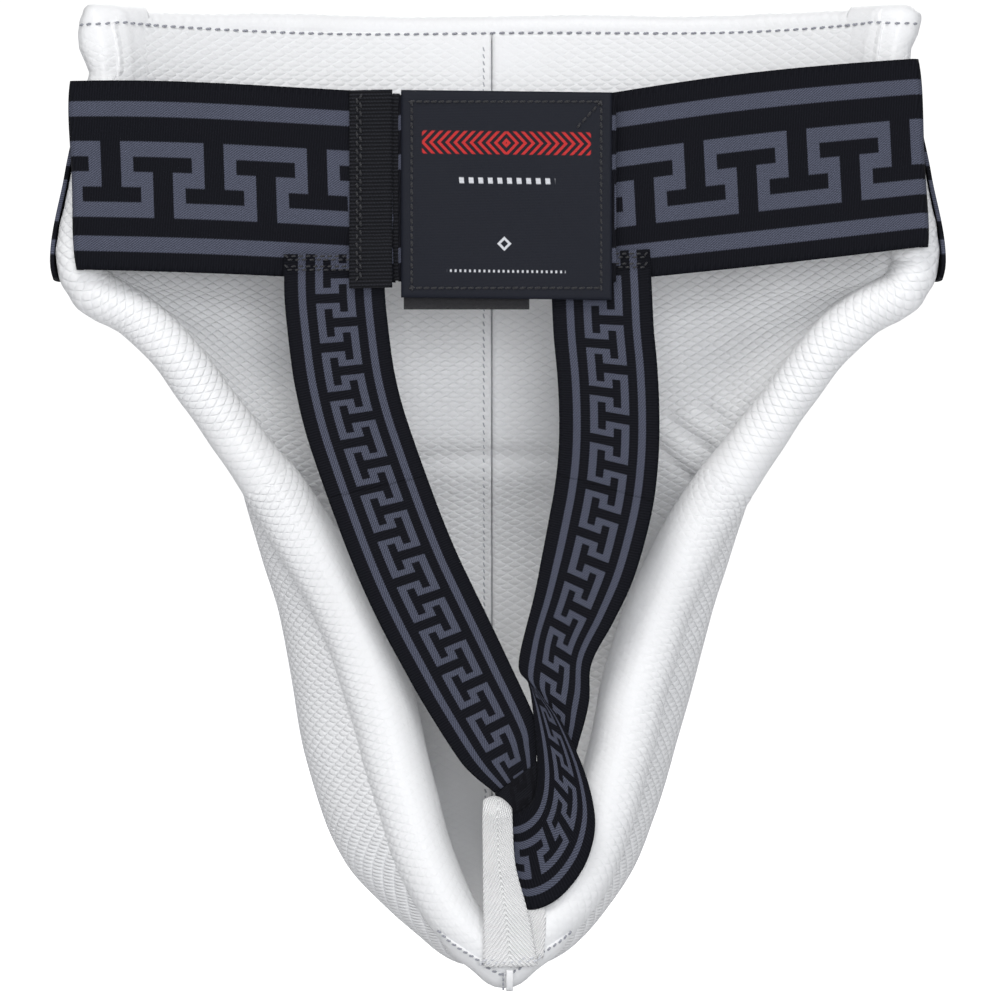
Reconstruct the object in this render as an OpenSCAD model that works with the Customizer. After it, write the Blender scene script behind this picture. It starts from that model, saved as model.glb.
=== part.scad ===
// Groin protector for martial arts and boxing, worn with the waist up (+Z).
// The wearer's side faces -Y, the padded front faces +Y.
// The origin is the centre of the waist opening at the waistband's mid-height.

/* [Waistband] */
// Width of the waist elastic
waist_w = 60; // [54:1:62]
// Thickness of all the elastic webbing
elastic_t = 1.6; // [1.2:0.1:1.6]
// Outer radius of the rounded fold at each wing
fold_r = 2.4; // [2:0.1:2.4]
// Distance of each fold from the centre plane
fold_x = 133.6; // [133:0.1:134]
// Lean of the left fold from the vertical, in degrees
fold_lean_left = 2; // [1:0.5:3]
// Lean of the right fold from the vertical, in degrees
fold_lean_right = -3; // [-4:0.5:-2]

/* [Closure] */
// Width of the label panel
label_w = 67; // [60:1:68]
// Height of the label panel
label_h = 66; // [62:1:68]
// Thickness of the label
label_t = 1.0; // [0.6:0.1:1]
// Width of the woven strip left of the label
webbing_w = 13.4; // [10:0.2:13.4]
// Height of the hook patch behind the label
hook_h = 62; // [50:1:64]

/* [Leg strap] */
// Width of the leg elastic
leg_w = 32; // [28:1:34]
// Width of the cotton keeper loop
loop_w = 14; // [10:1:15]
// Thickness of the keeper loop's tape
loop_t = 1.2; // [0.8:0.1:1.4]

/* [Shell] */
// Thickness of the leather cover and lining
cover_t = 1.1; // [0.8:0.1:1.2]
// Distance from the middle of the shell to its faces
half_t = 4.6; // [4.4:0.1:5]
// Radius of the rolled hem along the top
hem_r = 4.4; // [4:0.1:4.6]
// Thickness of the hard cup
cup_t = 2.1; // [1.6:0.1:2.1]
// Diameter of the sewing thread
thread_d = 0.8; // [0.5:0.1:1]

/* [Hidden] */

white = "#f0f1f2";
black = "#15161b";
slate = "#585c6c";
foam_grey = "#b9bcc4";

LEFT = -1;
RIGHT = 1;
gap = 0.2;            // air between sewn layers that lie on each other
waist_y = 20;         // depth of the waist opening's centre behind the rims
seam_x = -2;          // the centre seam sits a little left of the middle
hem_z = 50.6;         // centre of the rolled hem
sheet_top = 46;       // top edge of the flat layers
sheet_end = -252;     // bottom edge of the flat layers
crease_z = -94;       // where the flat belly turns into the cup
roll_sides = 12;
thin_sides = 6;

// Cross-sections of the shell's middle surface, from the hem down to the tip. Each half is one
// cubic curve, from the centre seam out to the rim. Depths are measured from the rims' plane.
// [height, rim x, rim depth, centre depth, floor reach, side reach, side depth, rim radius,
//  sideways shift of the rim, sideways shift of the side wall]
stations = [
    [  55, 128,    8, 46, 62, 104, 32,  6.6, 0,    0],
    [  36, 125,    8, 46, 62, 104, 32,  6.5, 0,    0],
    [   0, 130,    7, 47, 64, 108, 31,  7.5, 0,    0],
    [ -27, 134,    6, 48, 66, 114, 31,  8.0, 0,    0],
    [ -36, 130,    6, 48, 66, 112, 31,  8.0, 0,    0],
    [ -44, 117,    7, 48, 64, 105, 31,  8.0, 0,    0],
    [ -54, 106,    8, 49, 62,  97, 32,  8.0, 0,    0],
    [ -70,  94,   11, 50, 60,  92, 33,  8.2, 0,    0],
    [ -88,  81,   14, 54, 60,  91, 35,  9.0, 0,    0],
    [-105,  69,   17, 65, 60,  93, 38,  9.8, 0,   -1],
    [-122,  59,   19, 73, 61,  91, 41, 10.4, 0.5, -2],
    [-140,  50,   20, 77, 61,  86, 42, 10.6, 1.5, -3],
    [-163,  42,   19, 79, 58,  81, 42, 10.8, 2.5, -5.5],
    [-187,  36,   16, 76, 52,  75, 38, 10.6, 3,   -9],
    [-205,  31,   12, 69, 47,  68, 33, 10.2, 3,   -9],
    [-220,  26,    9, 58, 41,  59, 27,  9.6, 3,   -7],
    [-234,  18.5,  6, 43, 31,  43, 19,  8.6, 2.5, -2],
    [-244,  10,    4, 28, 20,  29, 12,  7.6, 2,    2],
    [-254,   1,    3, 12,  8,  10,  7,  6.8, 2,    2]
];

// ---- curves ----

// Monotone cubic interpolation of column k at height z
function drop(i) = stations[i + 1][0] - stations[i][0];
function rate(i, k) = (stations[i + 1][k] - stations[i][k]) / drop(i);
function slope(i, k) =
    i == 0 ? rate(0, k) : i == len(stations) - 1 ? rate(i - 1, k) :
    rate(i - 1, k) * rate(i, k) <= 0 ? 0 :
    2 * rate(i - 1, k) * rate(i, k) / (rate(i - 1, k) + rate(i, k));
function span(z) = [for (i = [0 : len(stations) - 2]) if (z >= stations[i + 1][0]) i][0];
function along(z, k) =
    let (i = span(z), h = drop(i), t = (z - stations[i][0]) / h)
    (2 * t^3 - 3 * t^2 + 1) * stations[i][k] + (t^3 - 2 * t^2 + t) * h * slope(i, k)
    + (3 * t^2 - 2 * t^3) * stations[i + 1][k] + (t^3 - t^2) * h * slope(i + 1, k);
function station(z) = [z, for (k = [1 : 9]) along(z, k)];

// Control points of one half of a section, in plan
function controls(st, side) = [
    [seam_x, st[3] - waist_y],
    [side * st[4], st[3] - waist_y],
    [side * st[5] + st[9], st[6] - waist_y],
    [side * st[1] + st[8], st[2] - waist_y]
];
function curve(p, a) =
    (1 - a)^3 * p[0] + 3 * (1 - a)^2 * a * p[1] + 3 * (1 - a) * a^2 * p[2] + a^3 * p[3];
function curve_dir(p, a) =
    (1 - a)^2 * (p[1] - p[0]) + 2 * (1 - a) * a * (p[2] - p[1]) + a^2 * (p[3] - p[2]);
function unit(v) = v / norm(v);

// A point at fraction u of the section (-1 is the left rim, 1 the right), offset outwards
function place(st, u, offset) =
    let (side = u < 0 ? LEFT : RIGHT, p = controls(st, side), a = abs(u),
         d = side * unit(curve_dir(p, a)), c = curve(p, a) + offset * [-d[1], d[0]])
    [c[0], c[1], st[0]];
function rim(z, side) = place(station(z), side, 0);
function rim_r(z) = along(z, 7);

// The fraction at which the flat layers stop, just inside the roll round the rim
function edge(st, side) =
    let (z = st[0], run = unit(rim(z + 1, side) - rim(z - 1, side)),
         p = controls(st, side), reach = 3 * norm(p[3] - p[2]))
    1 - (st[7] + gap) / max(0.35, abs(run[2])) / reach;

// Heights of the rows of a layer: every station, and the middle between two
function heights(top, bottom) = [
    top,
    for (i = [0 : len(stations) - 2]) for (f = [0, 0.5])
        let (z = stations[i][0] + f * drop(i)) if (z < top - 2 && z > bottom + 2) z,
    bottom
];

// ---- solids from rows of points ----

function flat(rows) = [for (r = rows) each r];
function quads(n, m, base, flip) = [
    for (j = [0 : m - 2]) for (i = [0 : n - 2])
        let (a = base + j * n + i, b = a + 1, c = a + n, d = c + 1)
        each flip ? [[a, d, b], [a, c, d]] : [[a, b, d], [a, d, c]]
];

// A sheet between two grids of points
module panel(outer, inner) {
    n = len(outer[0]);
    m = len(outer);
    k = n * m;
    sides = [
        for (j = [0 : m - 2]) let (a = j * n, c = a + n) each [[a, c, c + k], [a, c + k, a + k]],
        for (j = [0 : m - 2]) let (a = j * n + n - 1, c = a + n) each [[a, c + k, c], [a, a + k, c + k]],
        for (i = [0 : n - 2]) each [[i, i + 1 + k, i + 1], [i, i + k, i + 1 + k]],
        for (i = [0 : n - 2]) let (a = k - n + i) each [[a, a + 1, a + 1 + k], [a, a + 1 + k, a + k]]
    ];
    polyhedron(points = concat(flat(outer), flat(inner)),
               faces = concat(quads(n, m, 0, false), quads(n, m, k, true), sides));
}

// A solid bar through closed rings of points
module bar(rings) {
    n = len(rings[0]);
    m = len(rings);
    polyhedron(points = flat(rings), faces = [
        [for (i = [0 : n - 1]) n - 1 - i],
        for (j = [0 : m - 2]) for (i = [0 : n - 1])
            let (a = j * n + i, b = j * n + (i + 1) % n)
            each [[a, b, b + n], [a, b + n, a + n]],
        [for (i = [0 : n - 1]) (m - 1) * n + i]
    ]);
}

// A hollow sleeve between outer and inner rings
module sleeve(outer, inner) {
    n = len(outer[0]);
    m = len(outer);
    k = n * m;
    polyhedron(points = concat(flat(outer), flat(inner)), faces = [
        for (j = [0 : m - 2]) for (i = [0 : n - 1])
            let (a = j * n + i, b = j * n + (i + 1) % n)
            each [[a, b, b + n], [a, b + n, a + n], [a + k, b + n + k, b + k], [a + k, a + n + k, b + n + k]],
        for (i = [0 : n - 1]) let (b = (i + 1) % n)
            each [[i, b + k, b], [i, i + k, b + k]],
        for (i = [0 : n - 1]) let (a = (m - 1) * n + i, b = (m - 1) * n + (i + 1) % n)
            each [[a, b, b + k], [a, b + k, a + k]]
    ]);
}

// Rings of radius radii[i] round a path, square to it
function rings(path, radii, sides) = [
    for (i = [0 : len(path) - 1])
        let (t = unit(path[min(i + 1, len(path) - 1)] - path[max(i - 1, 0)]),
             side = unit(cross(t, [0, -1, 0])), up = cross(side, t))
        [for (q = [0 : sides - 1]) let (w = 360 * q / sides)
            path[i] + radii[i] * (up * cos(w) + side * sin(w))]
];
function less(radii, by) = [for (r = radii) r - by];

// A strap of even thickness between two edges
module ribbon(edge_a, edge_b, t) {
    n = len(edge_a);
    function face_dir(i) =
        let (along_dir = (edge_a[min(i + 1, n - 1)] + edge_b[min(i + 1, n - 1)])
                         - (edge_a[max(i - 1, 0)] + edge_b[max(i - 1, 0)]))
        unit(cross(edge_b[i] - edge_a[i], along_dir));
    bar([for (i = [0 : n - 1]) let (h = face_dir(i) * t / 2)
        [edge_a[i] + h, edge_a[i] - h, edge_b[i] - h, edge_b[i] + h]]);
}

// ---- shell layers ----

// One layer between two offsets, from fraction u0 to fraction u1 of the way to the rolls
module layer(u0, u1, low, high, top, bottom, columns) {
    rows = [for (z = heights(top, bottom)) station(z)];
    function fraction(st, i) = let (u = u0 + (u1 - u0) * i / columns)
        u * edge(st, u < 0 ? LEFT : RIGHT);
    function grid(offset) = [for (st = rows) [for (i = [0 : columns]) place(st, fraction(st, i), offset)]];
    panel(grid(high), grid(low));
}

half_columns = 11;
seam_gap = 0.002;     // fraction of a half section left open at the centre seam
pad_split = 1.0;      // offset where the inner pad meets the belly pad and the cup
pad_gap = 0.5;        // air on both faces of the inner pad

module half_layer(side, low, high) {
    u0 = side == LEFT ? -1 : seam_gap;
    u1 = side == LEFT ? -seam_gap : 1;
    layer(u0, u1, low, high, sheet_top, sheet_end, half_columns);
}
module outer_cover(side) { color(white) half_layer(side, half_t - cover_t, half_t); }
module lining(side) { color(white) half_layer(side, -half_t, cover_t - half_t); }
module inner_foam_pad() {
    color(foam_grey)
    layer(-0.95, 0.95, cover_t - half_t + pad_gap, pad_split - pad_gap, sheet_top, sheet_end + 4, 20);
}
module belly_foam_pad() {
    color(foam_grey) layer(-0.9, 0.9, pad_split, half_t - cover_t - gap, sheet_top, crease_z + 2, 18);
}
module hard_cup() {
    color("#8d9098")
    layer(-0.82, 0.82, half_t - cover_t - gap - cup_t, half_t - cover_t - gap, crease_z - 2, -232, 16);
}

// ---- rolled edges ----

function leg_path(side) = [for (z = heights(54, crease_z + 1)) rim(z, side)];
function leg_radii() = [for (z = heights(54, crease_z + 1)) rim_r(z)];
module leg_roll(side) {
    path = leg_path(side);
    color(white) sleeve(rings(path, leg_radii(), roll_sides),
                        rings(path, less(leg_radii(), cover_t), roll_sides));
}
module leg_core(side) {
    color(foam_grey) bar(rings(leg_path(side), less(leg_radii(), cover_t + gap), roll_sides));
}

// The cup's rim runs down one side, round the tip and up the other side
cup_heights = heights(crease_z - 1, -246);
tip_r = rim_r(-250);
tip_path = [[-2.5, 3.2 - waist_y, -251], [2, 3 - waist_y, -253], [6.5, 3.2 - waist_y, -251]];
cup_path = concat([for (z = cup_heights) rim(z, LEFT)], tip_path,
                  [for (i = [1 : len(cup_heights)]) rim(cup_heights[len(cup_heights) - i], RIGHT)]);
cup_radii = concat([for (z = cup_heights) rim_r(z)], [for (p = tip_path) tip_r],
                   [for (i = [1 : len(cup_heights)]) rim_r(cup_heights[len(cup_heights) - i])]);
module cup_roll() {
    color(white) sleeve(rings(cup_path, cup_radii, roll_sides),
                        rings(cup_path, less(cup_radii, cover_t), roll_sides));
}
module cup_roll_core() {
    color(foam_grey) bar(rings(cup_path, less(cup_radii, cover_t + gap), roll_sides));
}

hem_columns = 24;
hem_st = concat([hem_z], [for (k = [1 : 9]) along(hem_z, k)]);
hem_path = [for (i = [-hem_columns / 2 : hem_columns / 2])
    let (u = 2 * i / hem_columns) place(hem_st, u * edge(hem_st, u < 0 ? LEFT : RIGHT), 0)];
hem_radii = [for (p = hem_path) hem_r];
module top_hem() {
    color(white) sleeve(hem_rings(hem_r), hem_rings(hem_r - cover_t));
}
module hem_core() { color(foam_grey) bar(hem_rings(hem_r - cover_t - gap)); }
function hem_rings(r) = [for (i = [0 : hem_columns])
    let (t = unit(hem_path[min(i + 1, hem_columns)] - hem_path[max(i - 1, 0)]), side = cross(t, [0, 0, 1]))
    [for (q = [0 : 7]) hem_path[i] + r * (side * cos(45 * q) + [0, 0, 1] * sin(45 * q))]];

// Threads: the row under the hem and the row beside the centre seam, on the wearer's side
stitch_z = 45;
module thread(path) { color("#dcdde0") bar(rings(path, [for (p = path) thread_d / 2], thin_sides)); }
module hem_stitching() {
    st = station(stitch_z);
    out = -half_t - thread_d / 2 - 0.1;
    color("#dcdde0") bar([for (i = [-14 : 14])
        let (u = i / 14, e = u * edge(st, u < 0 ? LEFT : RIGHT) * 0.98,
             a = place(st, e, out - thread_d / 2), b = place(st, e, out + thread_d / 2), h = [0, 0, thread_d / 2])
        [a - h, a + h, b + h, b - h]]);
}
module centre_stitching() {
    thread([for (z = heights(stitch_z - 3, -200))
        place(station(z), -0.02, -half_t - thread_d / 2 - 0.3)]);
}

// ---- tip and keeper loop ----

tip_w = 14;           // width of the strip wrapped round the end of the roll
module tip_binding() {
    color(white) translate(tip_path[1])
    rotate([0, 90, 0]) rotate_extrude(angle = 130, $fn = 48, start = -50)
        translate([tip_r + gap, -tip_w / 2]) square([cover_t, tip_w]);
}

// The loop of tape stands on the tip and leans against the leg strap
loop_base = [5, -5.2 - waist_y, -251];
loop_top = [0.4, -3.2 - waist_y, -196.5];
loop_depth = 5.2;     // distance between the front and back legs
back_start = 20;      // the back leg starts this far above the base
loop_lean = atan((loop_top[0] - loop_base[0]) / (loop_top[2] - loop_base[2]));
loop_len = norm([loop_top[0] - loop_base[0], loop_top[2] - loop_base[2]]);
module keeper_loop() {
    bend_r = loop_depth / 2;
    straight = loop_len - bend_r - loop_t / 2;
    color("#f4f3ef") translate(loop_base) rotate([0, loop_lean, 0]) {
        translate([-loop_w / 2, 0, 0]) rotate([0, 90, 0]) cylinder(d = loop_t, h = loop_w, $fn = 32);
        translate([-loop_w / 2, -loop_t / 2, 0]) cube([loop_w, loop_t, straight]);
        translate([-loop_w / 2, loop_depth - loop_t / 2, back_start]) cube([loop_w, loop_t, straight - back_start]);
        translate([0, bend_r, straight]) rotate([0, 90, 0])
            rotate_extrude(angle = 180, $fn = 48, start = 90)
            translate([bend_r - loop_t / 2, -loop_w / 2]) square([loop_t, loop_w]);
    }
}
module loop_tack() {
    color("#dcdde0") translate(loop_base + [-loop_w / 2, -loop_t / 2 - gap / 2 - thread_d / 2, 1])
    for (row = [0, 2.4]) translate([0, 0, row]) cube([loop_w, thread_d / 2, thread_d]);
}

// ---- waistband ----

band_y = -5.2 - waist_y;
plate_y = 0.1 - fold_r;   // the flat of each half starts just inside its rounded fold
// A flat piece of webbing: an outline of [x, z] points, given thickness t from depth y0 backwards
module plate(points, y0, t) {
    translate([0, y0 + t, 0]) rotate([90, 0, 0]) linear_extrude(t) polygon(points);
}
half_w = waist_w / 2;
fold_rise_right = 7;  // height of the right fold's middle
centre_drop = -4.5;   // height of the bands' middle at the centre
tab_x = -32.6;        // the label panel peels about this line
tab_y = -10.9 - waist_y;
left_len = tab_x - 1 + fold_x;
left_turn = -atan((band_y + plate_y + elastic_t / 2 - tab_y) / left_len);

module waistband_left() {
    color(black) translate([-fold_x, band_y, 0]) {
        rotate([0, fold_lean_left, 0]) translate([0, 0, -half_w]) cylinder(r = fold_r, h = waist_w, $fn = 48);
        rotate([0, 0, left_turn]) plate([[-1, half_w], [left_len, half_w + centre_drop],
            [left_len, centre_drop - half_w], [1, -half_w]], plate_y, elastic_t);
    }
}
right_reach = 165;    // length of the right half, hidden end included
module waistband_right() {
    far_z = fold_rise_right + (centre_drop - fold_rise_right) * right_reach / fold_x;
    color(black) translate([fold_x, band_y, 0]) {
        translate([0, 0, fold_rise_right]) rotate([0, fold_lean_right, 0])
            translate([0, 0, -half_w]) cylinder(r = fold_r, h = waist_w, $fn = 48);
        plate([[-1.5, fold_rise_right + half_w], [-right_reach, far_z + half_w],
            [-right_reach, far_z - half_w], [1.5, fold_rise_right - half_w]], plate_y, elastic_t);
    }
}

// The sewn-down return leg of each fold, on the wearer's face of the wing
anchor_w = 24;
module band_anchor(side) {
    mid_z = side == LEFT ? 0 : fold_rise_right;
    start = fold_r + 2.4;
    color(black) translate([side * fold_x, band_y, 0])
    plate([for (c = [[start, 1], [anchor_w, 1], [anchor_w, -1], [start, -1]])
        [-side * c[0], mid_z + c[1] * (half_w - 2)]], 0.5, 1.2);
}

// The short length sewn to the front of each wing, wrapping the rim
module front_band(side) {
    t = 1.4;
    wrap = [0, 25, 50];
    rows = [for (z = heights(26, -31)) station(z)];
    function over(st, u) = let (k = max(0, (abs(u) - 0.8) / 0.2)) half_t + (st[7] - half_t) * k * k * (3 - 2 * k);
    function grid(out) = [for (st = rows) concat(
        [for (u = [0.74, 0.8, 0.86, 0.92, 0.97]) place(st, side * u, over(st, u) + out)],
        [for (w = wrap) let (c = place(st, side, 0), n = unit(place(st, side, 1) - c),
            d = side * [n[1], -n[0], 0]) c + (st[7] + out) * (n * cos(w) + d * sin(w))])];
    color(black)
    if (side == RIGHT) panel(grid(0.3 + t), grid(0.3));
    else panel(grid(0.3), grid(0.3 + t));
}

// ---- closure ----

tab_z = centre_drop;
strap_top = -24;      // the woven strip steps forward over the leg strap's end below this height
strip_t = 1.2;        // thickness of the woven strip
module hook_webbing() {
    front = tab_y - elastic_t / 2 - gap - strip_t;
    step = elastic_t + 3 * gap;
    low = tab_z - label_h / 2 + 1;
    color("#1d1e23") translate([tab_x - 1.2 - webbing_w, front, 0]) {
        translate([0, 0, strap_top + 1]) cube([webbing_w, strip_t, tab_z + half_w - strap_top]);
        translate([0, -step, low]) cube([webbing_w, strip_t, strap_top + 5 - low]);
        translate([0, -step, strap_top + 1]) cube([webbing_w, step + strip_t, 4]);
    }
}
tab_len = label_w + 3.4;
module closure_backing() {
    color(black) translate([tab_x, tab_y, tab_z]) {
        translate([0, 0, -half_w]) cylinder(r = elastic_t / 2, h = waist_w, $fn = 32);
        translate([0, -elastic_t / 2, -half_w]) cube([tab_len, elastic_t, waist_w]);
    }
}
label_x = tab_x + 2.6;
label_y = tab_y - elastic_t / 2 - gap - label_t;
label_z = tab_z - 2.2;
module closure_label() {
    color("#1c1e26") translate([label_x, label_y, label_z - label_h / 2]) cube([label_w, label_t, label_h]);
}
stitch_in = 4;        // inset of the label's border of stitches
module label_stitching() {
    color("#0c0c10") translate([label_x + label_w / 2, label_y - gap / 2, label_z]) rotate([90, 0, 0])
    linear_extrude(thread_d / 2) difference() {
        square([label_w - 2 * stitch_in, label_h - 2 * stitch_in], center = true);
        square([label_w - 2 * stitch_in - 2 * thread_d, label_h - 2 * stitch_in - 2 * thread_d], center = true);
    }
}
patch_t = 0.8;
hook_w = 40;
module hook_patch() {
    color(black) translate([tab_x + 2.6, tab_y + elastic_t / 2 + gap / 2, tab_z - 38.5])
        cube([hook_w, patch_t, hook_h]);
}
module loop_patch() {
    color("#202127") translate([-28, band_y - fold_r - 0.1 - patch_t, tab_z - 27]) cube([46, patch_t, 54]);
}

// ---- leg strap ----

// Middle line of each half of the strap: [x, depth, height]
left_line = [[-51.5, -12.9, -27], [-51.5, -12.3, -36], [-51, -11, -49], [-47.4, -9.2, -72], [-39.4, -7.2, -97],
             [-28.2, -5, -126], [-13.8, -3.6, -155], [-2.6, -3.4, -176]];
right_line = [[34.2, -8.55, -27], [34.2, -8.75, -36], [34.4, -8.8, -49], [36.5, -7.6, -72], [35.2, -6, -97],
              [29.4, -4.6, -123], [23, -3.4, -142], [18.6, -2.8, -157]];
tack_w = 14;          // width of each row of thread at the strap's ends
// Half widths along the right half, which narrows into a twist above the bight
right_half_w = [16, 16, 16, 16, 16, 16, 14, 9];
// Pairs of edge points where the strap turns through the loop: [x, depth, height]
bight_a = [[-16, -3.5, -185], [-14, -3.4, -199], [-9, -2.8, -212], [2, -2.6, -227], [12, -2.9, -236], [20, -4.6, -230],
           [29, -5.2, -219], [31.5, -5.4, -203], [27.8, -5, -184], [21, -3.6, -168], [26.6, -2.8, -161.2]];
bight_b = [[11.4, -3.5, -170.5], [-7.6, -3.3, -189], [-7.8, -2.8, -202], [3, -2.6, -203], [9.4, -2.9, -206.5],
           [10.2, -4.2, -206], [15.7, -4.6, -196.5], [15, -4.4, -181], [13.8, -3.6, -165], [12.4, -3.2, -161],
           [10.6, -2.8, -156.6]];

function seat(p) = [p[0], p[1] - waist_y, p[2]];
function across(line, i) =
    let (d = line[min(i + 1, len(line) - 1)] - line[max(i - 1, 0)]) unit([-d[2], 0, d[0]]);
module strap(line, half_widths) {
    last = len(line) - 1;
    color(black) ribbon([for (i = [0 : last]) seat(line[i] - half_widths[i] * across(line, i))],
                        [for (i = [0 : last]) seat(line[i] + half_widths[i] * across(line, i))], elastic_t);
}
module leg_strap_left() { strap(left_line, [for (p = left_line) leg_w / 2]); }
module leg_strap_right() { strap(right_line, [for (w = right_half_w) w * leg_w / 32]); }
module leg_strap_bight() {
    color(black) ribbon([for (p = bight_a) seat(p)], [for (p = bight_b) seat(p)], elastic_t);
}

// Rows of thread that hold the strap's sewn ends down
module strap_tack(line) {
    color(slate) translate(seat(line[0]) + [-13, -elastic_t / 2 - 0.3 - thread_d / 2, -5])
    for (row = [0, 3.5]) translate([0, 0, row]) cube([tack_w, thread_d / 2, thread_d]);
}

outer_cover(LEFT);  // outer_cover_left
outer_cover(RIGHT);  // outer_cover_right
lining(LEFT);  // lining_left
lining(RIGHT);  // lining_right
inner_foam_pad();
belly_foam_pad();
hard_cup();
leg_roll(LEFT);  // leg_roll_left
leg_roll(RIGHT);  // leg_roll_right
leg_core(LEFT);  // leg_core_left
leg_core(RIGHT);  // leg_core_right
cup_roll();
cup_roll_core();
top_hem();
hem_core();
hem_stitching();
centre_stitching();
tip_binding();
keeper_loop();
loop_tack();
front_band(LEFT);  // front_band_left
front_band(RIGHT);  // front_band_right
band_anchor(LEFT);  // band_anchor_left
band_anchor(RIGHT);  // band_anchor_right
waistband_left();
waistband_right();
strap_tack(left_line);  // strap_tack_left
strap_tack(right_line);  // strap_tack_right
hook_webbing();
closure_backing();
closure_label();
label_stitching();
hook_patch();
loop_patch();
leg_strap_left();
leg_strap_right();
leg_strap_bight();
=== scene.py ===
import math

import bmesh
import bpy
import numpy as np
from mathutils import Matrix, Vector


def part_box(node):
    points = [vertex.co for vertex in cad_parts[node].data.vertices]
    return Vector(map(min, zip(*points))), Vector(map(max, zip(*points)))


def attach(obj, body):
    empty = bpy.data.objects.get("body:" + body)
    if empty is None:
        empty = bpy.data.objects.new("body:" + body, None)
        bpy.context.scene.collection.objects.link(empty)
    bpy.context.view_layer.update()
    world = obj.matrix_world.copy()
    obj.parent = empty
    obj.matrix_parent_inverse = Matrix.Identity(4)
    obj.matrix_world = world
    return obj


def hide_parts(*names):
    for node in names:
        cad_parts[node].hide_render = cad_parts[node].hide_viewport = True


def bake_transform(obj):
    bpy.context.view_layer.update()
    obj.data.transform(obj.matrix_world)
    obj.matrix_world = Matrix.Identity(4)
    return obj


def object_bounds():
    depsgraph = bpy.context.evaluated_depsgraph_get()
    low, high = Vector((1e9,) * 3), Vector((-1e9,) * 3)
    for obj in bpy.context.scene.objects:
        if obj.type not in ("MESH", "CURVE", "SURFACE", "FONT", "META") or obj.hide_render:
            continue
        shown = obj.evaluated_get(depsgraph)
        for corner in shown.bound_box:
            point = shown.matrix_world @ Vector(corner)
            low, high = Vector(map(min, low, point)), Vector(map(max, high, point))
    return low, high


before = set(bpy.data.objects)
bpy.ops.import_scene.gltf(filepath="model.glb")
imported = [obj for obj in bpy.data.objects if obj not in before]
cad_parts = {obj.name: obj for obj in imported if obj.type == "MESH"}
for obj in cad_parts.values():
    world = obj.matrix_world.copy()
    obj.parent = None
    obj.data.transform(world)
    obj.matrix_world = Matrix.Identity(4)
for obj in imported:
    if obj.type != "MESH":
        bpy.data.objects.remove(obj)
cad_box = [list(corner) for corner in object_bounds()]

# ---------------------------------------------------------------- sizes, in millimetres

MM = 0.001
WAIST_Y = 20.0          # depth of the waist opening's centre behind the rims' plane
SEAM_X = -2.0
HALF_T = 4.6            # from the middle of the shell to its faces
COVER_T = 1.1
BAND_TOP_Z = 26.0       # the waistband hides the shell below this height
HEM_Z = 50.6
HEM_R = 4.4
SHEET_TOP = 49.0
SHEET_END = -252.0
CLOSING_Z = -244.0      # below it the lining and the cover round off towards each other
CLOSING_R = 8.6
CREASE_Z = -94.0
BAND_W = 60.0
LEG_W = 32.0
TAPE_W = 14.0
ELASTIC_T = 1.5
FOLD_X = 133.6
FOLD_R = 2.4
BAND_Y = -25.2
TAB_X = -32.6
TAB_Y = -30.9
CENTRE_DROP = -4.5
RIGHT_RISE = 7.0
LEFT_LEAN, RIGHT_LEAN = 0.034, 0.052    # slope of each waistband half's ends
LEFT, RIGHT = -1, 1
TO_WEARER = (0.0, -1.0, 0.0)
RIM_RADIUS = 7          # the column of the stations that holds it

# The shell's cross-sections, from the hem to the tip and then turned round, so that heights rise:
# height, rim x, rim depth, centre depth, floor reach, side reach, side depth, rim radius,
# rim shift, side shift
STATIONS = np.array([
    [55, 128, 8, 46, 62, 104, 32, 6.6, 0, 0],
    [36, 125, 8, 46, 62, 104, 32, 6.5, 0, 0],
    [0, 130, 7, 47, 64, 108, 31, 7.5, 0, 0],
    [-27, 134, 6, 48, 66, 114, 31, 8.0, 0, 0],
    [-36, 130, 6, 48, 66, 112, 31, 8.0, 0, 0],
    [-44, 117, 7, 48, 64, 105, 31, 8.0, 0, 0],
    [-54, 106, 8, 49, 62, 97, 32, 8.0, 0, 0],
    [-70, 94, 11, 50, 60, 92, 33, 8.2, 0, 0],
    [-88, 81, 14, 54, 60, 91, 35, 9.0, 0, 0],
    [-105, 69, 17, 65, 60, 93, 38, 9.8, 0, -1],
    [-122, 59, 19, 73, 61, 91, 41, 10.4, 0.5, -2],
    [-140, 50, 20, 77, 61, 86, 42, 10.6, 1.5, -3],
    [-163, 42, 19, 79, 58, 81, 42, 10.8, 2.5, -5.5],
    [-187, 36, 16, 76, 52, 75, 38, 10.6, 3, -9],
    [-205, 31, 12, 69, 47, 68, 33, 10.2, 3, -9],
    [-220, 26, 9, 58, 41, 59, 27, 9.6, 3, -7],
    [-234, 18.5, 6, 43, 31, 43, 19, 8.6, 2.5, -2],
    [-244, 10, 4, 28, 20, 29, 12, 7.6, 2, 2],
    [-254, 1, 3, 12, 8, 10, 7, 6.8, 2, 2],
])[::-1]


# ---------------------------------------------------------------- curves and surfaces

def unit(v):
    return v / np.maximum(np.linalg.norm(v, axis=-1, keepdims=True), 1e-9)


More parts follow.
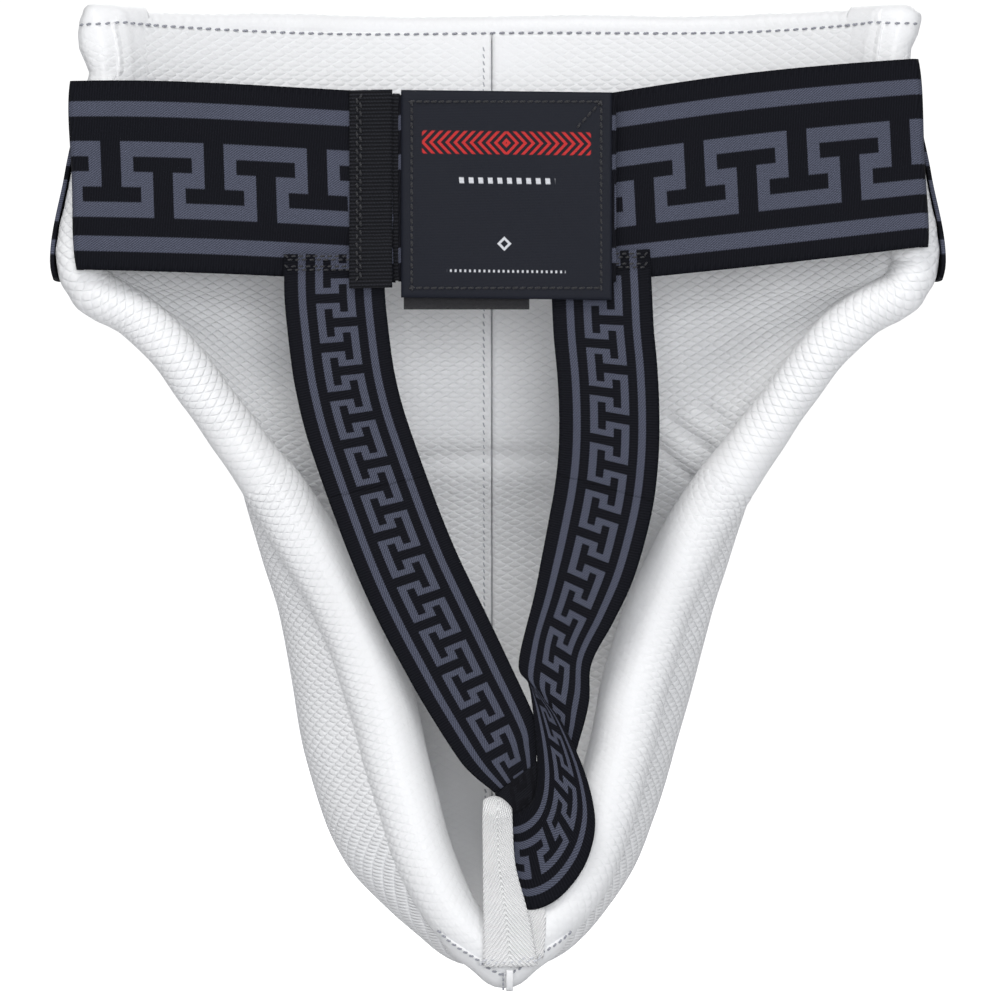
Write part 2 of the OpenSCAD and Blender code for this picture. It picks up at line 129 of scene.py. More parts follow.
def column(z, k):
    """Monotone cubic interpolation of one column of the stations at the heights z."""
    heights, values = STATIONS[:, 0], STATIONS[:, k]
    step = np.diff(heights)
    rate = np.diff(values) / step
    pair = rate[:-1] * rate[1:]
    total = np.where(rate[:-1] + rate[1:] == 0, 1, rate[:-1] + rate[1:])
    slope = np.concatenate([rate[:1], np.where(pair > 0, 2 * pair / total, 0), rate[-1:]])
    i = np.clip(np.searchsorted(heights, z) - 1, 0, len(heights) - 2)
    t = (z - heights[i]) / step[i]
    return ((2 * t**3 - 3 * t**2 + 1) * values[i] + (t**3 - 2 * t**2 + t) * step[i] * slope[i]
            + (3 * t**2 - 2 * t**3) * values[i + 1] + (t**3 - t**2) * step[i] * slope[i + 1])


def middle(u, z):
    """A point of the shell's middle surface: u is -1 at the left rim, 0 at the seam and 1 at the right."""
    u, z = np.broadcast_arrays(np.asarray(u, float), np.asarray(z, float))
    a, side = np.abs(u), np.where(u < 0, -1.0, 1.0)
    rim_x, rim_y, mid_y, floor_x, wall_x, wall_y, _, rim_shift, wall_shift = (
        column(z, k) for k in range(1, 10))
    b0, b1, b2, b3 = (1 - a)**3, 3 * (1 - a)**2 * a, 3 * (1 - a) * a**2, a**3
    x = (b0 * SEAM_X + b1 * side * floor_x + b2 * (side * wall_x + wall_shift)
         + b3 * (side * rim_x + rim_shift))
    y = (b0 + b1) * mid_y + b2 * wall_y + b3 * rim_y - WAIST_Y
    return np.stack([x, y, z], -1)


def outward(u, z):
    """The shell's normal, away from the wearer."""
    e = 0.002
    across = middle(np.clip(u + e, -1, 1), z) - middle(np.clip(u - e, -1, 1), z)
    up = middle(u, z + 0.05) - middle(u, z - 0.05)
    return unit(np.cross(up, across))


def fraction_at(x, z):
    """The u whose middle point has that x, at one height."""
    u = np.linspace(-1, 1, 241)
    return float(np.interp(x, middle(u, np.full_like(u, z))[:, 0], u))


def smooth(t):
    t = np.clip(t, 0, 1)
    return t * t * (3 - 2 * t)


def bump(d, width):
    return np.exp(-(d / width)**2)


def fold(x, z, ax, az, bx, bz, width):
    """A soft ridge along the segment from a to b, fading at its ends."""
    along = np.array([bx - ax, bz - az])
    length = np.hypot(*along)
    along = along / length
    t = ((x - ax) * along[0] + (z - az) * along[1]) / length
    d = (x - ax) * along[1] - (z - az) * along[0]
    return bump(d, width) * smooth(t * 4 + 0.5) * smooth((1 - t) * 4 + 0.5) * (t > -0.2) * (t < 1.2)


def ripple(x, z, seed, scale):
    """Gentle, seeded unevenness, between about -1 and 1."""
    rng = np.random.default_rng(seed)
    total = np.zeros_like(x)
    for _ in range(6):
        kx, kz = rng.normal(0, 1 / scale, 2)
        total = total + np.sin(kx * x + kz * z + rng.uniform(0, 6.28)) / 3
    return total


def spline(points, count):
    """A smooth curve through given points (Catmull-Rom), resampled evenly."""
    p = np.array(points, float)
    q = np.vstack([2 * p[0] - p[1], p, 2 * p[-1] - p[-2]])
    t = np.linspace(0, 1, 24, endpoint=False)[:, None]
    rows = [0.5 * (2 * b + (c - a) * t + (2 * a - 5 * b + 4 * c - d) * t**2
                   + (3 * b - a - 3 * c + d) * t**3) for a, b, c, d in zip(q, q[1:], q[2:], q[3:])]
    fine = np.vstack(rows + [p[-1:]])
    run = arc_length(fine)
    even = np.linspace(0, run[-1], count)
    return np.stack([np.interp(even, run, fine[:, k]) for k in range(p.shape[1])], -1)


def arc_length(path):
    return np.concatenate([[0], np.cumsum(np.linalg.norm(np.diff(path, axis=0), axis=-1))])


def xyz(x, y, z):
    """Points from their coordinates, any of which may be one number for all the points."""
    return np.stack(np.broadcast_arrays(*(np.asarray(v, float) for v in (x, y, z))), -1)


def width_run(grid):
    """Distance along each row of a grid of points, from its first column."""
    steps = np.linalg.norm(np.diff(grid, axis=1), axis=-1)
    return np.cumsum(np.concatenate([np.zeros((len(grid), 1)), steps], 1), 1)


def around(path):
    """At each point of a path, the direction across it that faces the wearer, and the one beside it."""
    tangent = unit(np.gradient(path, axis=0))
    front = np.array(TO_WEARER)
    face = unit(front - (tangent @ front)[:, None] * tangent)
    return face, np.cross(tangent, face)


# ---------------------------------------------------------------- meshes

def mesh_object(name, vertices, faces, corner_uv=None, fields=None):
    mesh = bpy.data.meshes.new(name)
    mesh.from_pydata((np.asarray(vertices) * MM).tolist(), [], faces)
    if corner_uv is not None:
        layer = mesh.uv_layers.new(name="UVMap")
        layer.data.foreach_set("uv", np.asarray(corner_uv, np.float32).ravel())
    for key, values in (fields or {}).items():
        layer = mesh.attributes.new(key, "FLOAT", "POINT")
        layer.data.foreach_set("value", np.asarray(values, np.float32).ravel())
    mesh.polygons.foreach_set("use_smooth", [True] * len(mesh.polygons))
    piece = bpy.data.objects.new(name, mesh)
    bpy.context.scene.collection.objects.link(piece)
    return piece


def grid_faces(rows, cols, uv, closed=False):
    """Quads over a grid of points, with the uv of each corner; a closed grid has one more column of uv."""
    spans = cols if closed else cols - 1
    j, i = np.meshgrid(np.arange(rows - 1), np.arange(spans), indexing="ij")
    nxt = (i + 1) % cols
    quads = np.stack([j * cols + i, j * cols + nxt, (j + 1) * cols + nxt, (j + 1) * cols + i], -1)
    corners = np.stack([uv[j, i], uv[j, i + 1], uv[j + 1, i + 1], uv[j + 1, i]], -2).reshape(-1, 2)
    return quads.reshape(-1, 4).tolist(), corners


def outside_out(piece):
    form = bmesh.new()
    form.from_mesh(piece.data)
    bmesh.ops.recalc_face_normals(form, faces=form.faces)
    form.to_mesh(piece.data)
    form.free()
    return piece


def slab(name, front, back, uv, fields=None):
    """A closed sheet between two grids of points that share one grid of uv."""
    rows, cols = front.shape[:2]
    quads, corners = grid_faces(rows, cols, uv)
    k = rows * cols
    faces = [q[::-1] for q in quads] + [[v + k for v in q] for q in quads]
    corner_uv = [corners.reshape(-1, 4, 2)[:, ::-1].reshape(-1, 2), corners]
    index = np.arange(k).reshape(rows, cols)
    loop = np.concatenate([index[0], index[1:, -1], index[-1, -2::-1], index[-2:0:-1, 0]])
    flat_uv = uv[:rows, :cols].reshape(-1, 2)
    edges = []
    for a, b in zip(loop, np.roll(loop, -1)):
        faces.append([int(a), int(b), int(b) + k, int(a) + k])
        edges += [flat_uv[a], flat_uv[b], flat_uv[b], flat_uv[a]]
    vertices = np.vstack([front.reshape(-1, 3), back.reshape(-1, 3)])
    fields = {key: np.concatenate([np.ravel(v), np.ravel(v)]) for key, v in (fields or {}).items()}
    return outside_out(mesh_object(name, vertices, faces, np.vstack(corner_uv + [np.array(edges)]), fields))


def sweep(name, rings, uv, fields=None):
    """A closed solid through rings of points, capped at its ends; uv has one column more than the rings."""
    rows, cols = rings.shape[:2]
    quads, corners = grid_faces(rows, cols, uv, closed=True)
    last = (rows - 1) * cols
    quads += [list(range(cols))[::-1], list(range(last, last + cols))]
    caps = np.vstack([uv[0, :cols][::-1], uv[-1, :cols]])
    return outside_out(mesh_object(name, rings.reshape(-1, 3), quads, np.vstack([corners, caps]), fields))


def tube(name, path, radius, sides=32, shape=None, fields=None):
    """A closed tube round a path. shape(angle, run) scales its radius; angle 0 faces the wearer.

    A field is a number, or a function of the angle, the run and the points."""
    path = np.asarray(path, float)
    face, side = around(path)
    run = arc_length(path)
    angle = np.linspace(0, 2 * np.pi, sides, endpoint=False)
    grid_angle, grid_run = np.meshgrid(angle, run)
    reach = np.asarray(radius)[:, None] * (shape(grid_angle, grid_run) if shape else 1)
    points = path[:, None] + reach[..., None] * (
        np.cos(angle)[None, :, None] * face[:, None] + np.sin(angle)[None, :, None] * side[:, None])
    wide = np.linspace(0, 2 * np.pi, sides + 1) * float(np.mean(radius))
    values = {key: v(grid_angle, grid_run, points) if callable(v) else np.full_like(grid_run, v)
              for key, v in (fields or {}).items()}
    return sweep(name, points, np.stack(np.meshgrid(wide, run), -1), values)


def ribbon(name, edge_a, edge_b, thickness=ELASTIC_T, width=None, across=22, crown=None, start=0.0):
    """A strap between two edges, with rounded selvedges. Its uv is (length, distance from edge a)."""
    edge_a, edge_b = np.asarray(edge_a, float), np.asarray(edge_b, float)
    centre = (edge_a + edge_b) / 2
    run = arc_length(centre) + start
    facing = unit(np.cross(edge_b - edge_a, np.gradient(centre, axis=0)))
    s = np.linspace(0, 1, across + 1)
    half = thickness / 2 * (1 - np.abs(2 * s - 1)**8 * 0.75)
    lift = (crown(s[None, :], run[:, None]) if crown else np.zeros((len(run), across + 1)))
    base = edge_a[:, None] + (edge_b - edge_a)[:, None] * s[None, :, None]
    front = base + facing[:, None] * (half + lift)[..., None]
    back = base + facing[:, None] * (lift - half)[..., None]
    points = np.concatenate([front, back[:, ::-1]], 1)
    width = width or float(np.mean(np.linalg.norm(edge_b - edge_a, axis=1)))
    v = np.concatenate([s, s[::-1], s[:1]]) * width
    return sweep(name, points, np.stack(np.meshgrid(run, v, indexing="ij"), -1))


def stitches(name, points, normals, length, radius, slant=0.0, sink=0.35):
    """One bowed capsule of thread at each point, along the row, its ends sunk into the cloth.

    normals is a direction for each point, or one for all of them."""
    points = np.asarray(points, float)
    normals = np.broadcast_to(unit(np.asarray(normals, float)), points.shape)
    along = unit(np.gradient(points, axis=0))
    sides, rings = 7, 7
    t = np.linspace(-1, 1, rings)
    angle = np.linspace(0, 2 * np.pi, sides, endpoint=False)
    vertices, faces, uv = [], [], []
    for p, n, d in zip(points, normals, along):
        d = unit(d - (d @ n) * n)
        w = np.cross(n, d)
        d, w = d * math.cos(slant) + w * math.sin(slant), w * math.cos(slant) - d * math.sin(slant)
        base = len(vertices)
        for k in t:
            centre = p + d * k * length / 2 + n * (radius * 0.5 - sink * 2 * radius * k**4)
            r = radius * math.sqrt(max(1 - 0.75 * k**6, 0.05))
            vertices += [centre + r * (math.cos(a) * n + math.sin(a) * w) for a in angle]
        for j in range(rings - 1):
            for i in range(sides):
                m = (i + 1) % sides
                low, high = base + j * sides, base + (j + 1) * sides
                faces.append([low + i, low + m, high + m, high + i])
                uv += [((j + dj) * length / rings, (i + di) / sides)
                       for dj, di in ((0, 0), (0, 1), (1, 1), (1, 0))]
        for ring, order in ((0, -1), (rings - 1, 1)):
            faces.append([base + ring * sides + i for i in range(sides)][::order])
            uv += [(0, 0)] * sides
    return outside_out(mesh_object(name, np.array(vertices), faces, np.array(uv)))


def join(name, pieces):
    """Several meshes made into one piece."""
    bpy.ops.object.select_all(action="DESELECT")
    for piece in pieces:
        piece.select_set(True)
    bpy.context.view_layer.objects.active = pieces[0]
    bpy.ops.object.join()
    pieces[0].name = name
    pieces[0].data.name = name
    return pieces[0]


def dress(piece, material, body, slot, *nodes):
    """Gives a piece its material and its body, and hides the CAD nodes that it stands for; the slot is not
    used.
    """
    piece.data.materials.clear()
    piece.data.materials.append(material)
    if body:
        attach(piece, body)
    if nodes:
        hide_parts(*nodes)
    return piece


# ---------------------------------------------------------------- material fields

class Field:
    """A number that varies over a surface, worked out by shader nodes."""

    def __init__(self, tree, socket):
        self.tree, self.socket = tree, socket

    def math(self, operation, *others):
        node = self.tree.nodes.new("ShaderNodeMath")
        node.operation = operation
        for place, value in zip(node.inputs, (self,) + others):
            feed(self.tree, place, value)
        return Field(self.tree, node.outputs[0])

    def __add__(self, other):
        return self.math("ADD", other)

    def __sub__(self, other):
        return self.math("SUBTRACT", other)

    def __mul__(self, other):
        return self.math("MULTIPLY", other)

    def __truediv__(self, other):
        return self.math("DIVIDE", other)

    def wave(self, period, phase=0.0):
        return (self * (2 * math.pi / period) + phase).math("SINE") * 0.5 + 0.5

    def fract(self):
        return self.math("FRACT")

    def top(self, other):
        return self.math("MAXIMUM", other)

    def ramp(self, low, high):
        """0 below low, 1 above high, and smooth between; low may be the higher one."""
        node = self.tree.nodes.new("ShaderNodeMapRange")
        node.interpolation_type = "SMOOTHSTEP"
        flip = low > high
        node.inputs["From Min"].default_value = min(low, high)
        node.inputs["From Max"].default_value = max(low, high)
        node.inputs["To Min"].default_value = 1.0 if flip else 0.0
        node.inputs["To Max"].default_value = 0.0 if flip else 1.0
        feed(self.tree, node.inputs["Value"], self)
        return Field(self.tree, node.outputs["Result"])

    def within(self, low, high, soft):
        return self.ramp(low - soft, low + soft) * self.ramp(high + soft, high - soft)


def feed(tree, place, value):
    if isinstance(value, Field):
        tree.links.new(value.socket, place)
    else:
        place.default_value = value


class Paint:
    """The node tree of one material, with shorthands for what the materials here share."""

    def __init__(self, name):
        self.material = bpy.data.materials.new(name)
        self.material.use_nodes = True
        self.tree = self.material.node_tree
        self.shader = self.tree.nodes["Principled BSDF"]
        self.where = self.tree.nodes.new("ShaderNodeTexCoord")

    def uv(self):
        split = self.tree.nodes.new("ShaderNodeSeparateXYZ")
        self.tree.links.new(self.where.outputs["UV"], split.inputs[0])
        return Field(self.tree, split.outputs[0]), Field(self.tree, split.outputs[1])

    def attribute(self, name):
        node = self.tree.nodes.new("ShaderNodeAttribute")
        node.attribute_name = name
        return Field(self.tree, node.outputs["Fac"])

    def noise(self, size_mm, detail=3.0, rough=0.5, source="Object", stretch=None):
        """Noise with features of that size in millimetres, in object space or in uv millimetres."""
        node = self.tree.nodes.new("ShaderNodeTexNoise")
        node.inputs["Scale"].default_value = (1 / MM if source == "Object" else 1) / size_mm
        node.inputs["Detail"].default_value = detail
        node.inputs["Roughness"].default_value = rough
        link = self.where.outputs[source]
        if stretch:
            mapping = self.tree.nodes.new("ShaderNodeMapping")
            mapping.inputs["Scale"].default_value = stretch
            self.tree.links.new(link, mapping.inputs[0])
            link = mapping.outputs[0]
        self.tree.links.new(link, node.inputs["Vector"])
        return Field(self.tree, node.outputs[0])

    def mix(self, factor, first, second):
        """A colour between two others; each is a tuple or the result of another mix."""
        node = self.tree.nodes.new("ShaderNodeMix")
        node.data_type = "RGBA"
        feed(self.tree, node.inputs["Factor"], factor)
        for key, value in (("A", first), ("B", second)):
            place = [s for s in node.inputs if s.name == key and s.type == "RGBA"][0]
            if isinstance(value, tuple):
                place.default_value = value + (1.0,)
            else:
                self.tree.links.new(value, place)
        return [s for s in node.outputs if s.type == "RGBA"][0]

    def finish(self, colour, roughness, height=None, depth_mm=0.2, **constants):
        if isinstance(colour, tuple):
            self.shader.inputs["Base Color"].default_value = colour + (1.0,)
        else:
            self.tree.links.new(colour, self.shader.inputs["Base Color"])
        feed(self.tree, self.shader.inputs["Roughness"], roughness)
        if height is not None:
            node = self.tree.nodes.new("ShaderNodeBump")
            node.inputs["Strength"].default_value = 1.0
            node.inputs["Distance"].default_value = depth_mm * MM
            self.tree.links.new(height.socket, node.inputs["Height"])
            self.tree.links.new(node.outputs[0], self.shader.inputs["Normal"])
        for key, value in constants.items():
            self.shader.inputs[key.replace("_", " ")].default_value = value
        return self.material


# ---------------------------------------------------------------- materials

SCALE_W = 5.0           # width and height of one embossed scale
SCALE_H = 3.0


def embossed_leather(name, depth, white):
    """White coated leather, embossed with overlapping diamond scales."""
    paint = Paint(name)
    x, y = paint.uv()
    warp = (paint.noise(30, 1.0) - 0.5) * 1.2
    p = (x / SCALE_W + (y + warp) / SCALE_H).fract()
    q = ((y + warp) / SCALE_H - x / SCALE_W).fract()
    off_p, off_q = p - 0.60, q - 0.60
    dome = (off_p * off_p + off_q * off_q).ramp(0.36, 0.0)
    rim_line = p.ramp(1.0, 0.86) * q.ramp(1.0, 0.86) * p.ramp(0.0, 0.12) * q.ramp(0.0, 0.12)
    scales = dome * 0.85 + rim_line * ((p + q) * 0.5).ramp(-0.1, 0.95) * 0.35
    amount = paint.attribute("emboss")
    pores = paint.noise(0.55, 2.0)
    creases = paint.noise(9.0, 4.0, 0.55)
    drawn = paint.noise(2.2, 3.0, 0.5, "UV", (2.2, 0.28, 1.0))
    pulled = paint.attribute("pulled")
    height = scales * amount + pores * 0.10 + creases * 0.55 + drawn * pulled * 0.5
    dirt = paint.noise(26, 4.0, 0.6).ramp(0.35, 0.8) * 0.35
    # painted shade: the gaps between the embossed scales are tinted darker and bluer, the more so where the
    # emboss is deep
    painted_groove_shade = rim_line.ramp(0.5, 0.0) * amount * 0.16
    painted_shade_tint = tuple(c * k for c, k in zip(white, (0.80, 0.82, 0.87)))
    warm = tuple(c * k for c, k in zip(white, (0.955, 0.95, 0.94)))
    colour = paint.mix(painted_groove_shade, paint.mix(dirt, white, warm), painted_shade_tint)
    roughness = creases * 0.16 + pores * 0.08 + 0.36
    return paint.finish(colour, roughness, height, depth, Coat_Weight=0.10, Coat_Roughness=0.35,
                        Specular_IOR_Level=0.42)


MEANDER = [             # rectangles of the Greek key in one repeat of 8 by 5 units
    (0, 6.5, 0, 1), (0, 1, 0, 3), (5.5, 6.5, 0, 3), (0, 2.5, 2, 3), (4, 6.5, 2, 3),
    (1.5, 2.5, 2, 5), (4, 5, 2, 5), (4, 9, 4, 5), (-1, 2.5, 4, 5)]


def jacquard(name, width, period, stripes, key, shift=0.0, black=(0.0030, 0.0032, 0.0050),
             slate=(0.105, 0.114, 0.160)):
    """Woven elastic: black ground, slate stripes and a key pattern. uv is (length, from the top edge)."""
    paint = Paint(name)
    along, across = paint.uv()
    cord = 0.82
    step = ((along / cord).fract() - 0.5) * 0.20
    across = across + step
    unit_x = period / 8.0
    x = ((along + shift + (across / 0.55).fract() * 0.22) / period).fract() * 8.0
    row = (across / width - key[0]) * (5.0 / (key[1] - key[0]))
    motif = None
    for x0, x1, r0, r1 in MEANDER:
        block = x.within(x0 + 0.02, x1 - 0.02, 0.10 / unit_x) * row.within(r0, r1, 0.05)
        motif = block if motif is None else motif.top(block)
    for lo, hi in stripes:
        motif = motif.top((across / width).within(lo, hi, 0.004))
    ribs = (along + across * 0.12).wave(cord)
    twill = (along * 0.9 + across * 1.25).wave(0.95)
    selvedge = (across / width).ramp(0.045, 0.02).top((across / width).ramp(0.955, 0.98))
    fuzz = paint.noise(0.35, 2.0)
    slate_dark = tuple(c * 0.36 for c in slate)
    black_light = tuple(c * 2.6 + 0.002 for c in black)
    ground = paint.mix(ribs * 0.40 + fuzz * 0.45, black, black_light)
    yarn = paint.mix(twill * 0.85 + fuzz * 0.20, slate_dark, slate)
    colour = paint.mix(motif, ground, yarn)
    height = ribs * (motif * -0.5 + 1.0) * 0.8 + motif * 0.55 + motif * twill * 0.7 + fuzz * 0.35 \
        + selvedge * along.wave(1.3) * 1.2
    return paint.finish(colour, fuzz * 0.2 + 0.62, height, 0.16, Sheen_Weight=0.02, Sheen_Roughness=0.45,
                        Specular_IOR_Level=0.07)


def webbing(name):
    """Coarse black woven strip: heavy lengthwise cords bound by cross threads."""
    paint = Paint(name)
    x, y = paint.uv()
    cord = x.wave(1.15)
    bind = (y + (x / 1.15).math("FLOOR") * 0.5).wave(0.95)
    fuzz = paint.noise(0.3, 2.0)
    height = cord * 0.9 + bind * cord * 0.7 + fuzz * 0.3
    colour = paint.mix(height * 0.55, (0.0025, 0.0026, 0.0036), (0.024, 0.025, 0.031))
    return paint.finish(colour, fuzz * 0.2 + 0.55, height, 0.26, Sheen_Weight=0.03, Sheen_Roughness=0.4,
                        Specular_IOR_Level=0.10)


def twill_tape(name, width):
    """White cotton tape in herringbone twill: slanted lines that meet down the middle."""
    paint = Paint(name)
    along, across = paint.uv()
    away = (across - width / 2).math("ABSOLUTE")
    lines = (along + away * 1.5).wave(1.7)
    rib = (along - away * 0.4).wave(0.55)
    fuzz = paint.noise(0.4, 3.0)
    centre = away.ramp(0.45, 0.1)
    height = lines * 0.9 + rib * 0.35 + fuzz * 0.5 + centre * -0.6
    worn = paint.noise(7, 3.0)
    colour = paint.mix(lines * 0.7 + worn * 0.25, (0.80, 0.80, 0.80), (0.98, 0.98, 0.975))
    return paint.finish(colour, 0.88, height, 0.34, Sheen_Weight=0.35, Sheen_Roughness=0.5,
                        Specular_IOR_Level=0.2)


def satin_label(name, width, height_mm):
    """Dark satin with a woven motif of slanted bars and small diamonds, made of no letters."""
    paint = Paint(name)
    x, y = paint.uv()
    twill = (x * 1.1 + y * 0.9).wave(0.42)
    weft = y.wave(0.5)
    fuzz = paint.noise(0.5, 2.0)
    ground = paint.mix(twill * 0.5 + fuzz * 0.3, (0.0050, 0.0060, 0.0105), (0.014, 0.016, 0.025))
    u, v = x / width, y / height_mm
    lean = (u - v * 0.10) * 22.0
    bar = lean.fract().within(0.12, 0.62, 0.03)
    middle_line = (v - 0.25).math("ABSOLUTE")
    chevron = (((u - 0.5).math("ABSOLUTE") * 26.0) + middle_line * 24.0).fract().within(0.10, 0.56, 0.04)
    red = chevron * v.within(0.195, 0.305, 0.004) * u.within(0.10, 0.90, 0.004)
    rule = bar * v.within(0.418, 0.446, 0.003) * u.within(0.27, 0.73, 0.004)
    gem = (u - 0.49).math("ABSOLUTE") * width + (v - 0.735).math("ABSOLUTE") * height_mm
    gem = gem.within(1.2, 2.3, 0.12)
    dots = (u * 44.0).fract().within(0.2, 0.6, 0.06)
    fine = dots * v.within(0.862, 0.874, 0.003) * u.within(0.22, 0.78, 0.004)
    pale = rule.top(gem).top(fine)
    red_yarn = paint.mix(weft * 0.4, (0.52, 0.030, 0.030), (0.30, 0.012, 0.014))
    pale_yarn = paint.mix(weft * 0.4, (0.62, 0.63, 0.66), (0.36, 0.37, 0.40))
    colour = paint.mix(pale, paint.mix(red, ground, red_yarn), pale_yarn)
    height = twill * 0.35 + weft * 0.2 + (red.top(pale)) * 0.8 + fuzz * 0.3
    return paint.finish(colour, fuzz * 0.16 + 0.44, height, 0.07, Sheen_Weight=0.02, Sheen_Roughness=0.35,
                        Specular_IOR_Level=0.12)


def thread(name, dark, light, rough=0.6):
    """Twisted sewing thread."""
    paint = Paint(name)
    x, y = paint.uv()
    ply = (x * 1.4 + y * 2.0).wave(1.0)
    fuzz = paint.noise(0.25, 2.0)
    return paint.finish(paint.mix(ply * 0.6 + fuzz * 0.4, dark, light), rough, ply + fuzz * 0.4, 0.06,
                        Sheen_Weight=0.2, Sheen_Roughness=0.4)


def pile(name, size, dark, light):
    """Hook-and-loop face: a dense field of small loops."""
    paint = Paint(name)
    loops = paint.noise(size, 2.0, 0.6)
    patch = paint.noise(6, 2.0)
    return paint.finish(paint.mix(loops * 0.7 + patch * 0.2, dark, light), 0.85, loops, 0.5,
                        Sheen_Weight=0.3, Sheen_Roughness=0.5)


def plain(name, dark, light, rough, size, depth):
    """Hidden inner parts: closed-cell foam, or the moulded cup's fine matt grain."""
    paint = Paint(name)
    grain = paint.noise(size, 3.0)
    return paint.finish(paint.mix(grain, dark, light), grain * 0.2 + rough, grain, depth)


WHITE = (0.865, 0.868, 0.875)
LEATHER = embossed_leather("embossed_leather", 0.32, WHITE)
LEATHER_SOFT = embossed_leather("soft_leather", 0.36, WHITE)
# The key pattern's repeat, its stripes and the strip that it fills, as fractions of the width
WAIST_WEAVE = 33.0, [(0.11, 0.19), (0.82, 0.90)], (0.32, 0.72)
LEG_REPEAT, LEG_KEY = 15.5, (0.31, 0.70)
BAND = jacquard("waist_elastic", BAND_W, *WAIST_WEAVE, 13.7)
BAND_RIGHT = jacquard("waist_elastic_right", BAND_W, *WAIST_WEAVE, 2.3)
LEG = jacquard("leg_elastic", LEG_W, LEG_REPEAT, [(0.14, 0.215), (0.79, 0.865)], LEG_KEY)
UNDERSIDE = jacquard("leg_elastic_underside", LEG_W, LEG_REPEAT, [(0.79, 0.865)], LEG_KEY, 0.0,
                     (0.0050, 0.0052, 0.0070), (0.012, 0.012, 0.016))
WEBBING = webbing("woven_strip")
TAPE = twill_tape("cotton_tape", TAPE_W)
LABEL = satin_label("satin_label", 67.0, 66.0)
WHITE_THREAD = thread("white_thread", (0.50, 0.51, 0.54), (0.78, 0.79, 0.82))
# The grey thread colour is the hem's real grey thread; on the tip's rows of white thread it is painted
# shade, standing for the shadow in their punched holes.
GREY_THREAD_AND_HOLE_SHADE = thread("grey_thread", (0.20, 0.21, 0.24), (0.42, 0.43, 0.47))
PALE_THREAD = thread("pale_thread", (0.34, 0.35, 0.38), (0.60, 0.61, 0.64))
BLACK_THREAD = thread("black_thread", (0.003, 0.003, 0.004), (0.022, 0.022, 0.027), 0.5)
LOOPS = pile("loop_pile", 0.7, (0.004, 0.004, 0.005), (0.030, 0.030, 0.035))
HOOKS = pile("hook_pile", 0.9, (0.003, 0.003, 0.004), (0.022, 0.022, 0.026))
FOAM = plain("foam", (0.40, 0.41, 0.44), (0.55, 0.56, 0.60), 0.8, 1.2, 0.3)
CUP = plain("moulded_cup", (0.22, 0.23, 0.26), (0.28, 0.29, 0.32), 0.4, 0.6, 0.05)


# ---------------------------------------------------------------- shell

def relief(x, z):
    """How far the wearer's face of the shell stands out or sinks in, in millimetres; out is positive."""
    height = 0.55 * ripple(x, z, 3, 16) * (z < 20)
    height = height - 0.7 * bump(x + 2.6, 0.7) - 0.5 * bump(x + 4.7, 1.1) + 0.45 * bump(x + 0.3, 2.2)
    height = height - 1.6 * bump(z + 88 + 0.0016 * x * x, 3.2) * bump(x + 4, 46)
    height = height + 1.2 * bump(z + 80 + 0.0012 * x * x, 7) * bump(x + 4, 44)
    for shift, depth in ((0, 1.0), (11, 0.8), (22, 0.6)):
        height = height - depth * fold(x, z, 46 + shift * 0.9, -78 + shift * 0.2,
                                       70 + shift * 0.25, -100 + shift * 1.1, 1.8)
        height = height + depth * 0.8 * fold(x, z, 50 + shift, -76 + shift * 0.2,
                                             74 + shift * 0.3, -97 + shift, 3.2)
    for shift in (0, 5, 10, 15):
        height = height - 0.8 * fold(x, z, -56 - shift * 0.5, -98 - shift,
                                     -70 - shift * 0.2, -103 - shift, 1.3)
    height = height - 1.0 * fold(x, z, -50, -140, -38, -152, 1.6)
    height = height - 0.8 * fold(x, z, -30, -118, -44, -96, 2.6)
    height = height - 0.8 * fold(x, z, 26, -120, 40, -98, 2.6) + 0.8 * fold(x, z, 16, -112, 30, -96, 5)
    height = height + 0.7 * bump(z + 150, 30) * bump(x + 22, 9) + 0.6 * bump(z + 160, 28) * bump(x - 20, 9)
    return height


def half_sheet(name, side, facing, columns, rows):
    """One half of the lining (facing -1) or of the outer cover (facing 1), from the seam to the roll."""
    z = np.linspace(SHEET_TOP, SHEET_END, rows)
    reach = 0.985 + 0.015 * smooth((z - BAND_TOP_Z) / 8)
    grid_u = side * (0.001 + np.linspace(0, 1, columns)[None, :] * (reach[:, None] - 0.001))
    grid_z = np.broadcast_to(z[:, None], grid_u.shape)
    centre, normal = middle(grid_u, grid_z), outward(grid_u, grid_z)
    away = smooth((np.abs(grid_u) - 0.86) / 0.13) * (1 - smooth((grid_z - BAND_TOP_Z) / 8))
    from_seam = centre[..., 0] - SEAM_X
    if facing < 0:
        lift = HALF_T + relief(centre[..., 0], grid_z) - 2.4 * away
    else:
        lift = HALF_T + 0.35 * ripple(centre[..., 0], grid_z, 11, 18) + 1.6 * away
        lift = lift - 1.0 * bump(from_seam, 0.9) - 0.5 * bump(np.abs(from_seam) - 3.2, 0.8)
    below = np.clip(CLOSING_Z - grid_z, 0, None)
    lift = lift * np.sqrt(np.clip(1 - (below / CLOSING_R)**2, 0.05, 1))
    front = centre + normal * (facing * lift)[..., None]
    back = centre + normal * (facing * (lift - COVER_T))[..., None]
    wide = width_run(front)
    tall = arc_length(front[:, columns // 3])
    uv = np.stack([wide * side, np.broadcast_to(-tall[:, None], wide.shape)], -1)
    if facing < 0:
        emboss = 0.80 - 0.45 * smooth((grid_z - 28) / 12) - 0.25 * bump(centre[..., 0], 26)
        deep = smooth((-150 - grid_z) / 40)
        emboss = emboss - 0.5 * deep * bump(centre[..., 0], 25)
        pulled = 0.5 * deep
    else:
        emboss = np.full_like(grid_z, 1.0)
        pulled = np.zeros_like(grid_z)
    return slab(name, front, back, uv, {"emboss": emboss, "pulled": pulled})


